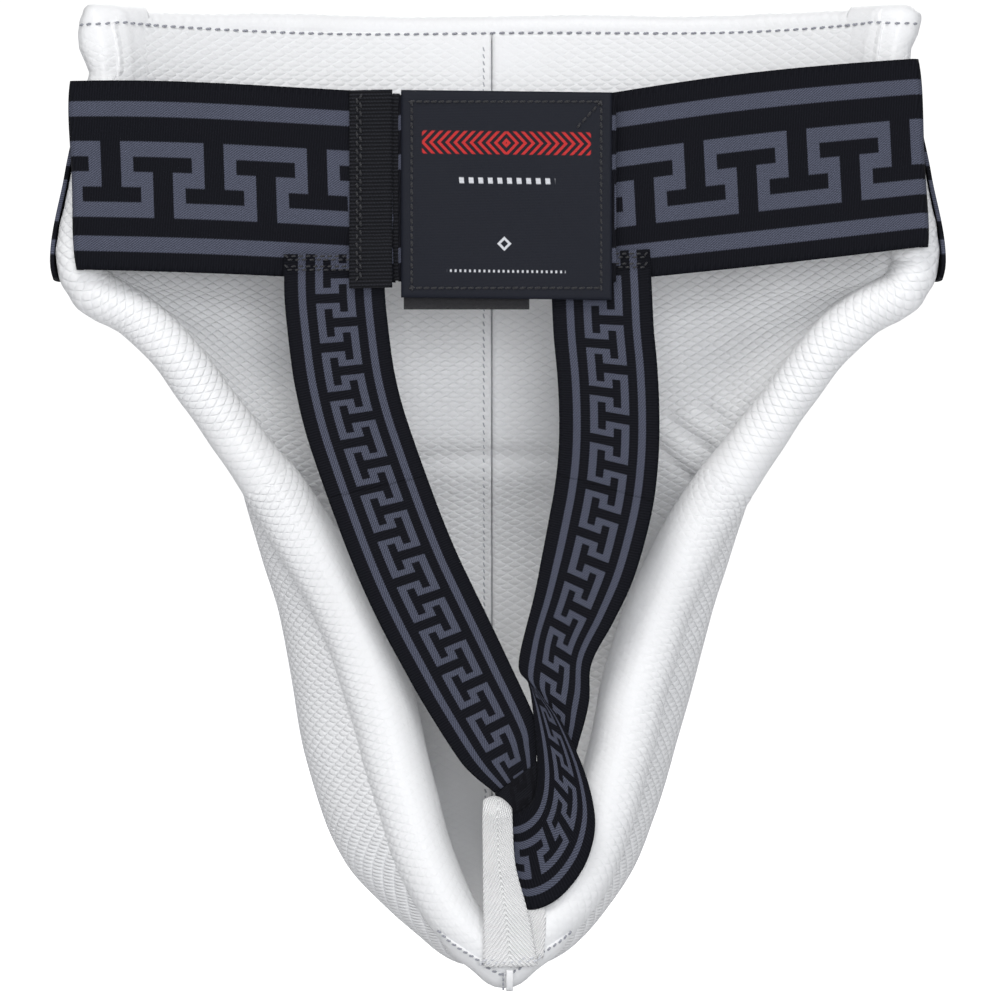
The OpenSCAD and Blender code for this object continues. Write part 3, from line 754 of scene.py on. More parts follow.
SIDES = (LEFT, "left"), (RIGHT, "right")
for side, word in SIDES:
    skin = half_sheet("inner_lining_" + word, side, -1, 150, 300)
    dress(skin, LEATHER_SOFT, "shell", "lining", "lining_" + word)
    skin = half_sheet("outer_shell_cover_" + word, side, 1, 110, 220)
    dress(skin, LEATHER, "shell", "cover", "outer_cover_" + word)


# ---------------------------------------------------------------- rolled edges

ROLL_TOP_Z = 54.6
CUP_RIM_END_Z = -243    # from there the cup's rim runs straight to the tip
CUP_RIM_END_R = 6.6     # the rim's radius at the tip
SLIM_R = 2.8            # what the wing roll's radius loses above the waistband
SLIM_SHIFT = 1.7, 0.6   # and how far it moves there, outwards and away from the wearer


def rim(z, side):
    return middle(np.full_like(z, float(side)), z)


def round_end(run, total, radius):
    """Scales a tube's radius so that its ends close as domes."""
    near = np.minimum(run, total - run)
    return np.sqrt(np.clip(1 - (1 - np.clip(near / radius, 0, 1))**2, 0.002, 1))


def slimming(z):
    """0 along the wing, rising to 1 where the wing roll has slimmed down above the waistband."""
    return smooth((z - BAND_TOP_Z) / 10)


def core(name, path, radius, node):
    """The foam cord inside a rolled edge."""
    piece = tube(name, path[::2], radius[::2] * 0.80, 20)
    dress(piece, FOAM, "shell", "foam", node)


def wing_roll(side, word):
    z = np.linspace(ROLL_TOP_Z, CREASE_Z - 7, 180)
    path = rim(z, side)
    slim = slimming(z)
    path[:, 0] += side * SLIM_SHIFT[0] * slim
    path[:, 1] += SLIM_SHIFT[1] * slim
    radius = column(z, RIM_RADIUS) - SLIM_R * slim
    run = arc_length(path)
    ends = round_end(run, run[-1], 5.0)

    def shape(angle, along):
        gathers = 0.020 * np.sin(along * 0.9 + 1.3 * np.sin(along * 0.13)) * bump(along - 84, 16)
        lumps = 0.018 * np.sin(along * 0.11 + side) + 0.012 * np.sin(along * 0.31 + 2 * angle)
        pinch = -0.05 * bump(along - 13, 5)
        flat = 0.03 * np.cos(2 * angle)
        return 1 + gathers + lumps + pinch + flat

    def emboss(angle, along, points):
        top, low = smooth((points[..., 2] - 34) / 8), smooth((-70 - points[..., 2]) / 22)
        return 0.75 - 0.60 * top - 0.40 * low - 0.25 * bump(angle - math.pi / 2, 0.5)

    piece = tube("wing_roll_" + word, path, radius * ends, 40, shape,
                 {"emboss": emboss, "pulled": 0.15})
    dress(piece, LEATHER, "shell", "cover", "leg_roll_" + word)
    core("wing_roll_foam_" + word, path, radius * ends, "leg_core_" + word)


for side, word in SIDES:
    wing_roll(side, word)

TIP = np.array([2.0, 3.2 - WAIST_Y, -254.0])
TIP_POINT = 0.13        # how much the roll thickens at the very tip, as a share of its radius


def cup_rim_path():
    """Centre line and radius of the cup's rim, down one side and up the other, softened at the tip."""
    z = np.linspace(CREASE_Z + 3, CUP_RIM_END_Z, 150)
    left, right = rim(z, LEFT), rim(z, RIGHT)[::-1]
    to_tip = np.linspace(0, 1, 14)[1:-1, None]
    down = left[-1] + (TIP - left[-1]) * to_tip
    up = TIP + (right[0] - TIP) * to_tip
    radius = column(z, RIM_RADIUS)
    low = np.linspace(radius[-1], CUP_RIM_END_R, 14)[1:]
    path = np.vstack([left, down, TIP, up, right])
    radius = np.concatenate([radius, low, low[-2::-1], radius[::-1]])
    half = 7
    kernel = np.hanning(2 * half + 1) / np.hanning(2 * half + 1).sum()
    centre, spread = len(path) // 2, 34
    near = slice(centre - spread, centre + spread + 1)
    wide = slice(centre - spread - half, centre + spread + half + 1)
    weight = smooth((spread - np.abs(np.arange(-spread, spread + 1))) / 12)[:, None]
    soft = np.stack([np.convolve(path[wide, k], kernel, "valid") for k in range(3)], -1)
    path[near] = path[near] * (1 - weight) + soft * weight
    return path, radius


def cup_rim():
    path, radius = cup_rim_path()
    run = arc_length(path)
    radius = radius * round_end(run, run[-1], 9.0)
    tip_run = run[len(run) // 2]

    def shape(angle, along):
        lumps = 0.014 * np.sin(along * 0.09) + 0.010 * np.sin(along * 0.23 + angle)
        point = TIP_POINT * bump(along - tip_run, 3.0)
        grooves = -0.02 * bump(angle - 5.2, 0.10) - 0.02 * bump(angle - 1.1, 0.10)
        return 1 + lumps + point + grooves

    def emboss(angle, along, points):
        outside = smooth(np.sin(angle) * 0.8 + 0.1)
        start = smooth((np.abs(along - tip_run) - tip_run + 40) / 34)
        return 0.20 + 0.50 * outside * smooth(np.abs(along - tip_run) / 60) + 0.30 * start

    piece = tube("cup_edge_roll", path, radius, 44, shape,
                 {"emboss": emboss, "pulled": 0.8})
    dress(piece, LEATHER_SOFT, "shell", "cover", "cup_roll")
    core("cup_edge_foam", path, radius, "cup_roll_core")


cup_rim()


def hem():
    """The rolled hem, slightly puckered between its stitches."""
    u = np.linspace(-1.0, 1.0, 280)
    path = middle(u, np.full_like(u, HEM_Z))
    path[:, 2] += 0.35 * np.sin(path[:, 0] * 0.07) - 0.8 * (path[:, 0] / 128)**2
    run = arc_length(path)
    radius = (HEM_R + 0.6 * smooth((np.abs(u) - 0.90) / 0.07)) * round_end(run, run[-1], 3.0)

    def shape(angle, along):
        pucker = 0.022 * np.sin(along * 2 * math.pi / 3.9) * np.clip(-np.sin(angle) + 0.2, 0, 1)
        waves = 0.02 * np.sin(along * 0.12) + 0.015 * np.sin(along * 0.29 + angle)
        upright = 0.06 * np.abs(np.sin(angle))
        return 1 + pucker + waves + upright

    piece = tube("top_hem_roll", path, radius, 32, shape, {"emboss": 0.15, "pulled": 0.3})
    dress(piece, LEATHER_SOFT, "shell", "cover", "top_hem")
    core("top_hem_foam", path, radius, "hem_core")


hem()


def lining_point(x, z):
    """A point on the lining's face, and the direction that faces the wearer there."""
    u = fraction_at(x, z)
    centre, normal = middle(u, z), outward(u, z)
    return centre - normal * (HALF_T + float(relief(centre[0], z))), -normal


# How far out the top corners reach at some heights: the left one, then the right one
CORNER_Z = [27, 34, 41.5, 46, 50, 52.6, 56]
CORNER_X = {LEFT: [131.0, 131.2, 134.2, 134.6, 134.2, 133.6, 132.4],
            RIGHT: [131.5, 132.0, 132.6, 134.6, 135.6, 136.0, 134.6]}
CORNER_TOP_R = 5.4
HEM_STITCH_Z = 48.9


def corner_profile(side, z):
    """Across one top corner at a height: from the lining round the wing roll's end to the outer cover."""
    slim = float(slimming(z))
    roll = (float(column(z, RIM_RADIUS)) - SLIM_R * slim) * 1.06 + 0.3
    centre = middle(float(side), z) + np.array([side * SLIM_SHIFT[0], SLIM_SHIFT[1], 0.0]) * slim
    wide = max(np.interp(z, CORNER_Z, CORNER_X[side]) - side * centre[0], roll)
    deep = max(5.0, roll)
    close = math.sqrt(max(1 - max(z - HEM_Z, 0)**2 / CORNER_TOP_R**2, 0.02))
    bases, reach = [], []
    for u, lift in ((0.84, -0.5), (0.88, 0.1), (0.92, 0.3), (0.96, 0.4)):
        bases.append(middle(side * u, z))
        reach.append(-outward(side * u, z) * (HALF_T + lift))
    for t in np.radians((-102, -72, -42, -14, 14)):
        bases.append(centre)
        reach.append(np.array([side * wide * math.cos(t), deep * math.sin(t), 0.0]))
    for u, lift in ((0.95, 0.4), (0.90, -0.5)):
        bases.append(middle(side * u, z))
        reach.append(outward(side * u, z) * (HALF_T + lift))
    outer = spline(np.array(bases) + np.array(reach) * close, 60)
    return outer, unit(outer - spline(np.array(bases), 60))


def hem_corner(side, word):
    """The leather folded round a top corner, over the ends of the hem and of the wing roll."""
    rows = [corner_profile(side, z) for z in np.linspace(27.5, 55.6, 56)]
    outer = np.array([r[0] for r in rows])[::-1]
    ray = np.array([r[1] for r in rows])[::-1]
    run = np.broadcast_to(arc_length(outer[40])[None, :] * side, outer.shape[:2])
    uv = np.stack([run, outer[..., 2]], -1)
    emboss = 0.35 - 0.25 * smooth((outer[..., 2] - 38) / 8)
    piece = slab("hem_corner_" + word, outer, outer - ray * 0.9, uv,
                 {"emboss": emboss, "pulled": 0.25 + 0 * emboss})
    dress(piece, LEATHER_SOFT, "shell", "cover")


for side, word in SIDES:
    hem_corner(side, word)


def hem_stitches():
    found = [lining_point(v, HEM_STITCH_Z) for v in np.linspace(-112, 112, 120)]
    left, right = (corner_profile(side, HEM_STITCH_Z) for side, _ in SIDES)
    points, faces = (np.vstack([left[k][36:10:-1], [pair[k] for pair in found], right[k][10:37]])
                     for k in (0, 1))
    run = arc_length(points)
    even = np.arange(1.0, run[-1], 3.15)
    points = np.stack([np.interp(even, run, points[:, k]) for k in range(3)], -1)
    faces = np.stack([np.interp(even, run, faces[:, k]) for k in range(3)], -1)
    points[:, 2] += 0.35 * np.sin(even * 0.05)
    piece = stitches("hem_stitches", points, faces, 1.9, 0.40, 0.12, 0.30)
    dress(piece, GREY_THREAD_AND_HOLE_SHADE, "shell", "grey_thread", "hem_stitching")


hem_stitches()


def centre_stitches():
    z = np.arange(44, -206, -2.3)
    found = [lining_point(-4.7 + 0.5 * smooth((-120 - v) / 60), v) for v in z]
    points, faces = (np.array([pair[k] for pair in found]) for k in (0, 1))
    piece = stitches("centre_stitches", points, faces, 1.6, 0.26, 0.30, 0.25)
    dress(piece, PALE_THREAD, "shell", "grey_thread", "centre_stitching")


centre_stitches()


# ---------------------------------------------------------------- tip

def tip_band():
    """The smooth strip wrapped round the point of the cup, its small tab and their rows of thread."""
    path, radius = cup_rim_path()
    centre = len(path) // 2
    reach = 24
    path, radius = path[centre - reach:centre + reach + 1], radius[centre - reach:centre + reach + 1]
    run = arc_length(path)
    face, side = around(path)
    middle_run = run[reach]
    first, last = 18, 200
    angle = np.radians(np.linspace(first, last, 34))
    halfway = math.radians((first + last) / 2)
    out = radius * (1 + TIP_POINT * bump(run - middle_run, 3.0))
    far = np.abs(run - middle_run) / middle_run
    taper = 1 - 0.62 * far**1.5
    proud = 0.45 - 1.4 * far**2
    grid = np.zeros((len(run), len(angle), 3))
    inner = np.zeros_like(grid)
    for j in range(len(run)):
        spread = halfway + (angle - halfway) * taper[j]
        ray = np.cos(spread)[:, None] * face[j] + np.sin(spread)[:, None] * side[j]
        swell = 1.1 * bump(far[j] - 0.5, 0.22) * np.clip(np.sin(spread), 0, 1)
        grid[j] = path[j] + (out[j] + proud[j] + swell)[:, None] * ray
        inner[j] = path[j] + (out[j] - 1.5) * ray
    uv = np.stack(np.meshgrid(run, angle * 7.0, indexing="ij"), -1)
    ones = np.ones(grid.shape[:2])
    piece = slab("tip_binding_strip", grid, inner, uv, {"emboss": 0.05 * ones, "pulled": 0.25 * ones})
    seam = spline(grid[6:-6:3, 0], 24)
    rows = stitches("tip_threads", seam + np.array([0, -0.25, -0.5]), TO_WEARER, 1.5, 0.36, 0.35)
    tab_z = np.linspace(-253.6, -260.2, 14)
    tab_y = TIP[1] - np.sqrt(np.clip(8.6**2 - (tab_z - TIP[2])**2, 1, None)) - 0.5
    tab_a, tab_b = (xyz(x, tab_y, tab_z) for x in (2.6, 4.9))
    tab = ribbon("tip_tab", tab_b, tab_a, 0.9, 2.3, 10)
    dress(tab, LEATHER_SOFT, "shell", "cover")
    spots = xyz(1.7, tab_y[3::3] + 0.1, tab_z[3::3])
    marks = stitches("tip_tab_threads", spots, (0, -1.0, -0.3), 1.2, 0.30)
    # painted shade: the tab's white thread is drawn in the grey thread colour, for the shadow in its
    # punched holes
    dress(marks, GREY_THREAD_AND_HOLE_SHADE, "shell", "white_thread")
    dress(piece, LEATHER_SOFT, "shell", "cover", "tip_binding")
    # painted shade: the strip's rows of white thread are drawn in the grey thread colour, for the shadow in
    # their punched holes
    dress(rows, GREY_THREAD_AND_HOLE_SHADE, "shell", "white_thread")


tip_band()


# ---------------------------------------------------------------- keeper loop

def keeper():
    """A folded cotton tape: up in front of the strap, over the bend and down behind it."""
    turn = np.radians(np.linspace(0, 180, 22))[1:]
    bend_r = 2.9

    def edge(front, x, y, z, rise, back):
        """One edge of the tape: up through the points in front, over the bend, down through the others."""
        over = xyz(x, y + bend_r * (1 - np.cos(turn)), z + rise * np.sin(turn))
        return np.vstack([spline(front, 40), over, spline([over[-1] + (0, 0, -0.5)] + back, 30)])

    left = edge([(-4.6, -25.2, -252.6), (-4.6, -26.2, -238), (-4.8, -26.3, -222), (-5.0, -25.9, -204)],
                -4.9, -25.9, -204, 3.6, [(-1.5, -20.8, -220), (2.6, -22.9, -236), (4.4, -24.2, -250.5)])
    right = edge([(12.8, -25.2, -252.4), (9.6, -26.4, -235.5), (5.6, -26.5, -220), (4.6, -26.1, -205)],
                 4.6, -26.1, -205, 3.0, [(9.8, -20.8, -219), (15.0, -22.9, -234), (14.6, -24.4, -250)])
    piece = ribbon("keeper_tape_loop", left, right, 1.2, TAPE_W, 16,
                   lambda s, run: (0.35 + 2.4 * bump(run - 51, 5)) * np.cos((s - 0.42) * math.pi * 0.95)
                   + 0.12 * np.sin(run * 0.45))
    dress(piece, TAPE, "keeper", "cotton_tape", "keeper_loop")
    x = np.arange(-5.5, 14.0, 1.25)
    low = xyz(x, -25.9, -251.2 + 0.9 * (np.arange(len(x)) % 2) + 0.05 * x)
    tack = stitches("keeper_tack_threads", low, TO_WEARER, 1.6, 0.36, 0.4)
    dress(tack, WHITE_THREAD, "keeper", "white_thread", "loop_tack")


keeper()


# ---------------------------------------------------------------- waistband

def band_edges(plan, top, bottom, lean):
    """Top and bottom edges of a band whose plan is a path of x and y."""
    x, y = plan.T
    high, low = top(x), bottom(x)
    return [xyz(x + lean * (z - 0.5 * (high + low)), y, z) for z in (high, low)]


def fold_turn(side, end):
    """The waistband's turn round its fold, in plan, from the wearer's side to an angle in degrees."""
    turn = np.radians(np.linspace(-90, end, 26))[1:]
    r = FOLD_R - ELASTIC_T / 2
    return np.stack([side * FOLD_X + r * np.cos(turn), BAND_Y + r * np.sin(turn)], -1)


FRONT_Y = BAND_Y - FOLD_R + ELASTIC_T / 2      # the middle of the elastic in front of its fold


def left_band():
    straight = np.linspace((TAB_X - 1.0, TAB_Y), (-FOLD_X, FRONT_Y), 90)
    straight[:, 1] -= np.sin(np.linspace(0, math.pi, 90)) * 0.8
    plan = np.vstack([straight, fold_turn(LEFT, -285)])[::-1]

    def top(x):
        t = np.clip((x + FOLD_X) / 100, 0, 1)
        return 30 + (CENTRE_DROP + 0.6) * t + 1.6 * np.sin(t * math.pi) * (1 - t)

    def bottom(x):
        t = np.clip((x + FOLD_X) / 100, 0, 1)
        return -30.2 + (CENTRE_DROP + 0.2) * t + 0.5 * np.sin(t * math.pi)

    edge_top, edge_low = band_edges(plan, top, bottom, -LEFT_LEAN)
    piece = ribbon("waistband_left_elastic", edge_top, edge_low, ELASTIC_T, BAND_W, 44,
                   lambda s, run: 0.30 * np.sin(run * 0.09 + 3 * s) + 0.25 * np.sin(s * 9 + run * 0.03))
    dress(piece, BAND, "band_left", "elastic", "waistband_left")


left_band()


def right_band():
    straight = np.linspace((-30, FRONT_Y), (FOLD_X, FRONT_Y), 140)
    plan = np.vstack([straight, fold_turn(RIGHT, 105)])

    def top(x):
        t = np.clip((FOLD_X - x) / 97, 0, 2)
        return 37 - 11.0 * t + 1.4 * np.sin(np.clip(t, 0, 1) * math.pi)

    def bottom(x):
        t = np.clip((FOLD_X - x) / 97, 0, 2)
        return -23 - 10.6 * t - 0.3 * np.sin(np.clip(t, 0, 1) * math.pi)

    edge_top, edge_low = band_edges(plan, top, bottom, -RIGHT_LEAN)
    piece = ribbon("waistband_right_elastic", edge_top, edge_low, ELASTIC_T, BAND_W, 44,
                   lambda s, run: 0.30 * np.sin(run * 0.08 + 2 * s) + 0.22 * np.sin(s * 8 + run * 0.04))
    dress(piece, BAND_RIGHT, "band_right", "elastic", "waistband_right")


right_band()


def band_anchor(side, word, rise):
    x = np.linspace(side * (FOLD_X - 5.2), side * (FOLD_X - 23.5), 24)
    a, b = (xyz(x, BAND_Y + 1.1, rise + half) for half in (27.5, -27.5))
    piece = ribbon("band_return_" + word, a, b, 1.2, BAND_W, 30)
    dress(piece, BAND, "shell", "elastic", "band_anchor_" + word)
    z = np.arange(rise - 25, rise + 25, 2.6)
    spots = xyz(side * (FOLD_X - 21), BAND_Y + 0.4, z)
    row = stitches("band_return_threads_" + word, spots, TO_WEARER, 1.9, 0.3, 0.3)
    dress(row, BLACK_THREAD, "shell", "black_thread")


for side, word in SIDES:
    band_anchor(side, word, RIGHT_RISE if side == RIGHT else 0.0)


def front_band(side, word):
    """The sewn length of elastic on the outside of each wing, wrapped round its rolled edge."""
    z = np.linspace(25.5, -30.5, 50)
    u = np.linspace(0.74, 0.97, 30)
    rows, thick = [], 1.3
    for height in z:
        radius = float(column(height, RIM_RADIUS))
        points, normals = [], []
        for a in u:
            k = float(smooth((a - 0.8) / 0.2))
            n = outward(side * a, height)
            points.append(middle(side * a, height) + n * (HALF_T + 0.9 + (radius - HALF_T) * k))
            normals.append(n)
        centre = middle(float(side), height)
        n = outward(side * 0.999, height)
        d = unit(np.array([side * n[1], -side * n[0], 0.0]))
        for w in np.radians(np.linspace(6, 50, 10)):
            ray = n * math.cos(w) + d * math.sin(w)
            points.append(centre + ray * (radius + 0.55))
            normals.append(ray)
        rows.append((points, normals))
    inner = np.array([r[0] for r in rows])
    ray = np.array([r[1] for r in rows])
    outer = inner + ray * thick
    run = width_run(inner)
    across = np.broadcast_to((z[0] - z)[:, None] / (z[0] - z[-1]) * BAND_W, run.shape)
    piece = slab("front_band_elastic_" + word, outer, inner, np.stack([run, across], -1))
    dress(piece, BAND, "shell", "elastic", "front_band_" + word)
    spots = outer[::2, 2] + ray[::2, 2] * 0.1
    row = stitches("front_band_threads_" + word, spots, ray[::2, 2], 1.9, 0.36, 0.3)
    dress(row, BLACK_THREAD, "shell", "black_thread")


for side, word in SIDES:
    front_band(side, word)


# ---------------------------------------------------------------- closure

def panel(name, box_low, box_high, thickness, y, rows=40, cols=40, warp=None, tilt=0.0):
    """A thin sewn panel facing the wearer, with softly uneven face and rounded rim."""
    x = np.linspace(box_low[0], box_high[0], cols)
    z = np.linspace(box_high[1], box_low[1], rows)
    gx, gz = np.meshgrid(x, z)
    edge = np.minimum(np.minimum(gx - x[0], x[-1] - gx), np.minimum(z[0] - gz, gz - z[-1]))
    round_off = thickness * 0.35 * (1 - smooth(edge / (thickness * 0.9)))
    wave = warp(gx, gz) if warp else 0
    lean = tilt * (gx - (x[0] + x[-1]) / 2)
    front = xyz(gx, y - thickness / 2 + round_off - wave, gz + lean)
    back = xyz(gx, y + thickness / 2 - round_off * 0.6 - wave, gz + lean)
    uv = np.stack([gx - x[0], z[0] - gz], -1)
    return slab(name, front, back, uv)


def node_span(name):
    low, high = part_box(name)
    return np.array(low) / MM, np.array(high) / MM


def closure():
    low, high = node_span("closure_backing")
    x = np.linspace(low[0] + 1.7, high[0] - 0.2, 60)
    a, b = (xyz(x, TAB_Y, z) for z in (high[2] - 0.3, low[2] + 0.3))
    piece = ribbon("closure_backing_elastic", a, b, ELASTIC_T, BAND_W, 40,
                   lambda s, run: 0.15 * np.sin(run * 0.12 + 2 * s))
    dress(piece, BAND, "closure_tab", "elastic", "closure_backing")

    low, high = node_span("closure_label")
    y, shift = (low[1] + high[1]) / 2, 0.8
    piece = panel("woven_label", (low[0] - shift, low[2]), (high[0] - shift, high[2]), 0.9, y, 120, 120,
                  lambda x, z: (0.22 * np.sin(x * 0.11 + 1) * np.sin(z * 0.09)
                                + 0.20 * bump(x - high[0] + 1, 9)), -0.012)
    dress(piece, LABEL, "closure_tab", "label", "closure_label")

    inset, step = 3.4, 2.35
    x0, x1, z0, z1 = low[0] - shift + inset, high[0] - shift - inset, low[2] + inset, high[2] - inset
    rows = [(x, np.arange(z0, z1, step)) for x in (x0, x1)]
    rows += [(np.arange(x0, x1, step), z) for z in (z0, z1)]
    t = np.arange(0, 9.5, step)
    rows.append((x1 - 0.5 - t * 0.7, z1 - 0.5 - t * 0.75))
    parts = [stitches("border", xyz(x, y - 0.62, z), TO_WEARER, 1.85, 0.34, 0.10, 0.3) for x, z in rows]
    border = join("label_border_stitches", parts)
    dress(border, BLACK_THREAD, "closure_tab", "black_thread", "label_stitching")

    for node, material, body in (("hook_patch", HOOKS, "closure_tab"), ("loop_patch", LOOPS, "band_right")):
        low, high = node_span(node)
        piece = panel(node + "_pad", low[::2], high[::2], high[1] - low[1], (low[1] + high[1]) / 2)
        dress(piece, material, body, "loop_pile", node)


closure()


def closure_bridge():
    """The bare elastic between the woven strip and the label."""
    left, right = TAB_X - 1.6, node_span("closure_backing")[0][0] + 2.2
    z = np.linspace(25.6, -33.9, 40)
    a = xyz(left - LEFT_LEAN * (z + 4.2), TAB_Y, z)
    b = xyz(right, TAB_Y, z)
    piece = ribbon("closure_bridge_elastic", b, a, 1.1, right - left, 8)
    piece.data.materials.append(WEBBING)
    place = (TAB_Y * MM, 0.0)
    (left * MM,) + place
    (right * MM,) + place
    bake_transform(piece)


closure_bridge()


def woven_strip():
    """The narrow woven strip over the join, stepping forward over the leg strap's sewn end."""
    low, high = node_span("hook_webbing")
    z = np.linspace(high[2], low[2], 110)
    step = 2.1
    front = low[1] + 0.6 + step * (1 - smooth((-18.0 - z) / 7.0))
    x0, x1 = low[0], high[0] + 0.25
    a = xyz(x0, front, z)
    b = xyz(x1, front, z + 0.3)
    piece = ribbon("woven_strip", b, a, 1.2, high[0] - low[0], 18, lambda s, run: 0.12 * np.sin(s * 14))
    dress(piece, WEBBING, "band_left", "webbing", "hook_webbing")
    zig = np.arange(high[2] - 2, low[2] + 2, -1.35)
    x = x0 + 3.0 + 0.55 * (-1.0)**np.arange(len(zig))
    y = np.interp(-zig, -z, front) - 0.75
    row = stitches("woven_strip_threads", xyz(x, y, zig), TO_WEARER, 1.7, 0.30, 0.2)
    dress(row, BLACK_THREAD, "band_left", "black_thread")


woven_strip()


# ---------------------------------------------------------------- leg strap

def seat(points):
    points = np.array(points, float)
    points[:, 1] -= WAIST_Y
    return points


LEFT_LINE = seat([
    [-52, -12.9, -25.6], [-52, -12.3, -36], [-51, -11, -49], [-47.4, -9.2, -72], [-39.4, -7.2, -97],
    [-28.2, -5, -126], [-13.8, -3.6, -155], [-1.0, -3.4, -179]])
RIGHT_LINE = seat([
    [32.4, -8.6, -24.6], [33.0, -8.8, -36], [33.6, -8.8, -49], [35.4, -7.6, -72], [34.6, -6, -97],
    [29.2, -4.6, -123], [22.4, -3.4, -144], [18.6, -2.9, -160]])
SPLIT_Z = -100.0        # where each leg strap is cut into an upper and a lower length


def strap_edges(line, half, count):
    centre = spline(line, count)
    d = unit(np.gradient(centre, axis=0))
    across = unit(xyz(-d[:, 2], 0, d[:, 0]))
    half = np.interp(np.linspace(0, 1, count), np.linspace(0, 1, len(half)), half)
    return centre - across * half[:, None], centre + across * half[:, None]


def strap_curl(s, run):
    return 0.45 * np.cos((s - 0.5) * math.pi * 1.1) + 0.18 * np.sin(run * 0.10 + 2 * s)


def strap_halves(name, a, b):
    """A leg strap in two lengths, which meet at the height SPLIT_Z."""
    z = (a[:, 2] + b[:, 2]) / 2
    cut = int(np.argmin(np.abs(z - SPLIT_Z)))
    run = arc_length((a + b) / 2)
    upper = ribbon(name + "_upper", a[:cut + 1], b[:cut + 1], ELASTIC_T, LEG_W, 26, strap_curl)
    lower = ribbon(name + "_lower", a[cut:], b[cut:], ELASTIC_T, LEG_W, 26, strap_curl, run[cut])
    for piece in (upper, lower):
        piece.data.materials.append(LEG)
    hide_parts(name)
    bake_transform(upper)
    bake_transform(lower)


# Where each half of the strap ends in a fold: its last pairs of points, left edge and right edge
LEFT_END = (seat([[-13.2, -3.4, -185.5], [-8.0, -3.4, -191.5], [-1.0, -3.6, -197.2]]),
            seat([[11.8, -3.4, -173.5], [12.6, -3.4, -181], [12.2, -3.2, -188]]))
RIGHT_END = (seat([[6.6, -3.2, -155.5], [9.6, -2.9, -162], [12.0, -2.6, -168]]),
             seat([[29.9, -3.0, -156], [29.0, -2.8, -169], [24.5, -2.4, -186]]))


def with_end(a, b, pairs, start_z, count):
    """The strap's edges down to start_z, and then on through its last pairs of points."""
    keep = int(np.argmin(np.abs((a[:, 2] + b[:, 2]) / 2 - start_z)))
    return [spline(np.vstack([edge[:keep:12], pair]), count) for edge, pair in zip((a, b), pairs)]


def leg_straps():
    a, b = strap_edges(LEFT_LINE, [16, 16, 16, 16, 16, 16, 15.5, 14], 150)
    a, b = with_end(a, b, LEFT_END, -166, 160)
    strap_halves("leg_strap_left", a, b)
    a, b = strap_edges(RIGHT_LINE, [16, 16, 16, 16, 16, 15.5, 13, 10], 130)
    a, b = with_end(a, b, RIGHT_END, -140, 150)
    strap_halves("leg_strap_right", a, b)
    under_a = spline(seat([[-1.0, -3.0, -197.4], [0.5, -2.0, -203], [2.5, -1.6, -209]]), 20)
    under_b = spline(seat([[12.6, -3.0, -187], [13.6, -1.9, -195], [12.5, -1.6, -205]]), 20)
    piece = ribbon("leg_strap_fold_underside", under_a, under_b, ELASTIC_T, LEG_W, 20)
    dress(piece, UNDERSIDE, "keeper", "elastic")


leg_straps()

# Where the strap turns through the loop: pairs of points on its outer and inner edge
BIGHT_OUTER = seat([
    [-1.5, -2.4, -225], [4.5, -2.6, -231.5], [10.5, -3.2, -234.6], [18.5, -4.2, -231.5], [25.5, -5.0, -224],
    [29.6, -5.4, -215.5], [31, -5.6, -205], [27.8, -5.6, -190.7], [20.9, -5.4, -175.4],
    [15.6, -4.8, -168.2], [12.8, -3.8, -164.5]])
BIGHT_INNER = seat([
    [-1.0, -2.2, -204.5], [2.4, -2.4, -204.5], [5.4, -3.0, -204], [8.8, -3.8, -202], [11.4, -4.4, -198.6],
    [12.5, -4.8, -194], [12.6, -5.0, -189], [12.1, -5.2, -180], [11.2, -5.2, -171.5], [10.4, -4.8, -165.5],
    [9.8, -3.8, -162.5]])


def bight():
    a, b = spline(BIGHT_OUTER, 120), spline(BIGHT_INNER, 120)
    piece = ribbon("leg_strap_bight_turn", a, b, ELASTIC_T, LEG_W, 26,
                   lambda s, run: 0.9 * np.cos((s - 0.5) * math.pi) + 0.2 * np.sin(run * 0.3 + 3 * s))
    dress(piece, LEG, "keeper", "elastic", "leg_strap_bight")


bight()


def strap_tacks():
    """Zigzag rows of black thread over the top ends of the leg strap."""
    for word, line, body in (("left", LEFT_LINE, "band_left"), ("right", RIGHT_LINE, "band_right")):
        x = np.arange(line[0, 0] - 15.2, line[0, 0] + 15.2, 1.15)
        rows = []
        for drop in (1.2, 4.4):
            z = line[0, 2] - drop + 0.55 * (-1.0)**np.arange(len(x))
            rows.append(stitches("row", xyz(x, line[0, 1] - 1.15, z), TO_WEARER, 1.5, 0.28, 0.1))
        tack = join("strap_tack_threads_" + word, rows)
        dress(tack, BLACK_THREAD, body, "black_thread", "strap_tack_" + word)


strap_tacks()


# ---------------------------------------------------------------- CAD nodes that stay, inside the skins

INNER = {"inner_foam_pad": FOAM, "belly_foam_pad": FOAM, "hard_cup": CUP}
for node, material in INNER.items():
    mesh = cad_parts[node].data
    mesh.materials.clear()
    mesh.materials.append(material)


# ---------------------------------------------------------------- stage, light and camera

def disc(name, radius, z):
    angle = np.linspace(0, 2 * math.pi, 64, endpoint=False)
    points = xyz(radius * np.cos(angle), radius * np.sin(angle), z)
    piece = mesh_object(name, points / MM, [list(range(64))])
    paint = Paint("stage_white")
    paint.shader.inputs["Emission Color"].default_value = (1, 1, 1, 1)
    glow = Field(paint.tree, paint.tree.nodes.new("ShaderNodeLightPath").outputs["Is Camera Ray"]) * 0.95
    feed(paint.tree, paint.shader.inputs["Emission Strength"], glow)
    grain = paint.noise(60, 2.0)
    piece.data.materials.append(paint.finish(paint.mix(grain, (0.70, 0.70, 0.71), (0.72, 0.72, 0.73)), 0.9))
    return piece


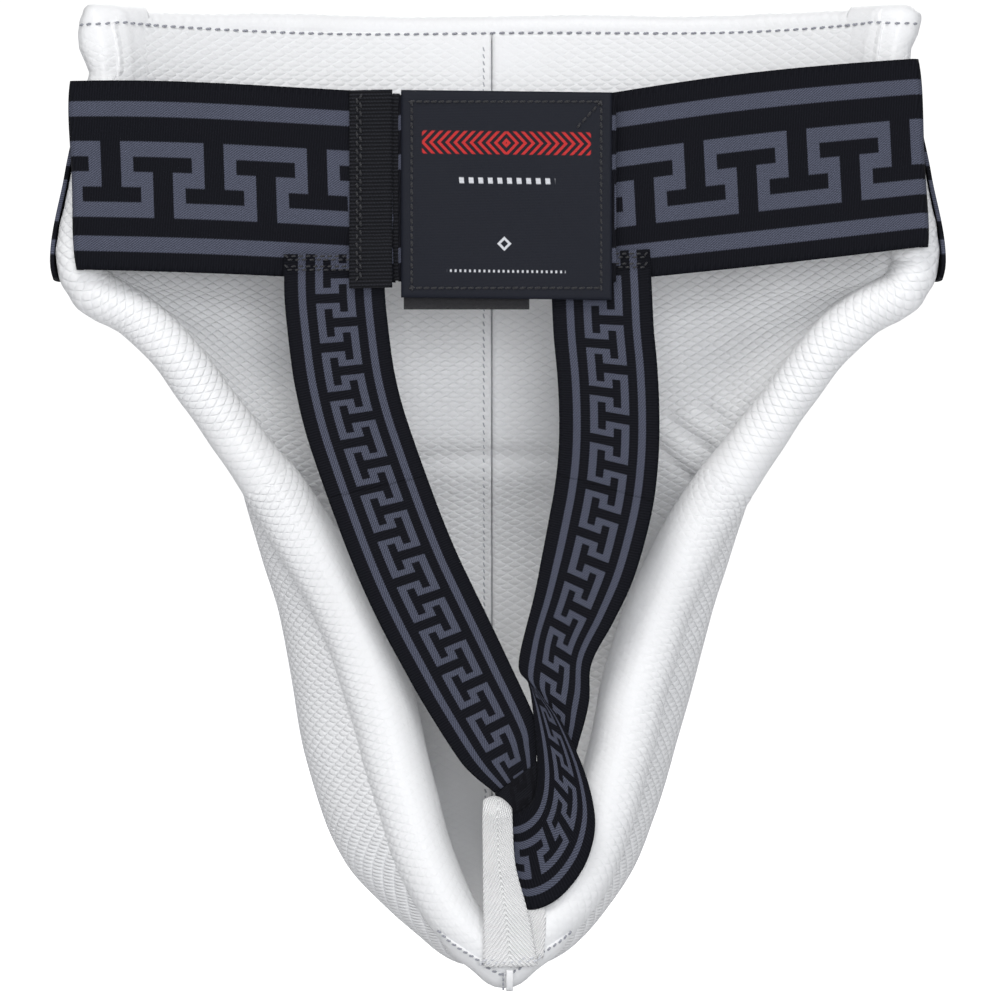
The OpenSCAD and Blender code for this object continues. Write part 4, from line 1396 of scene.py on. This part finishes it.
FLOOR_R, FLOOR_GAP = 30.0, 0.0005
disc("floor", FLOOR_R, cad_box[0][2] - FLOOR_GAP)


def area_light(name, place, target, size, power, colour):
    light = bpy.data.lights.new(name, "AREA")
    light.shape = "DISK"
    light.size = size
    light.energy = power
    light.color = colour
    lamp = bpy.data.objects.new(name, light)
    lamp.location = place
    lamp.rotation_euler = (Vector(target) - Vector(place)).to_track_quat("-Z", "Y").to_euler()
    bpy.context.scene.collection.objects.link(lamp)


CENTRE = (0.0, 0.0, -0.10)
area_light("key", (-0.35, -1.2, 1.15), CENTRE, 0.8, 12, (1.0, 0.99, 0.975))
area_light("front", (0.25, -2.1, 0.10), CENTRE, 1.2, 24, (0.97, 0.98, 1.0))
area_light("back", (0.3, 1.5, 0.9), CENTRE, 1.4, 16, (1.0, 1.0, 1.0))

world = bpy.data.worlds.new("studio")
bpy.context.scene.world = world
world.use_nodes = True
sky = world.node_tree
seen, lit = sky.nodes["Background"], sky.nodes.new("ShaderNodeBackground")
seen.inputs["Color"].default_value = (1.0, 1.0, 1.0, 1)
seen.inputs["Strength"].default_value = 1.1
lit.inputs["Color"].default_value = (0.95, 0.97, 1.0, 1)
lit.inputs["Strength"].default_value = 0.34
path_info, choose = sky.nodes.new("ShaderNodeLightPath"), sky.nodes.new("ShaderNodeMixShader")
sky.links.new(path_info.outputs["Is Camera Ray"], choose.inputs[0])
sky.links.new(lit.outputs[0], choose.inputs[1])
sky.links.new(seen.outputs[0], choose.inputs[2])
sky.links.new(choose.outputs[0], sky.nodes["World Output"].inputs["Surface"])

bpy.context.scene.view_settings.view_transform = "Standard"

# The camera is level and looks straight on, from 1.8 m in front of the object
CAMERA_AT = (-0.0003, -1.82, -0.1027)
SENSOR_MM, LENS_MM = 36.0, 203.7
camera_data = bpy.data.cameras.new("camera")
camera_data.sensor_width = SENSOR_MM
camera_data.lens = LENS_MM
camera = bpy.data.objects.new("camera", camera_data)
camera.location = CAMERA_AT
camera.rotation_euler = (math.pi / 2, 0, 0)
bpy.context.scene.collection.objects.link(camera)
bpy.context.scene.camera = camera
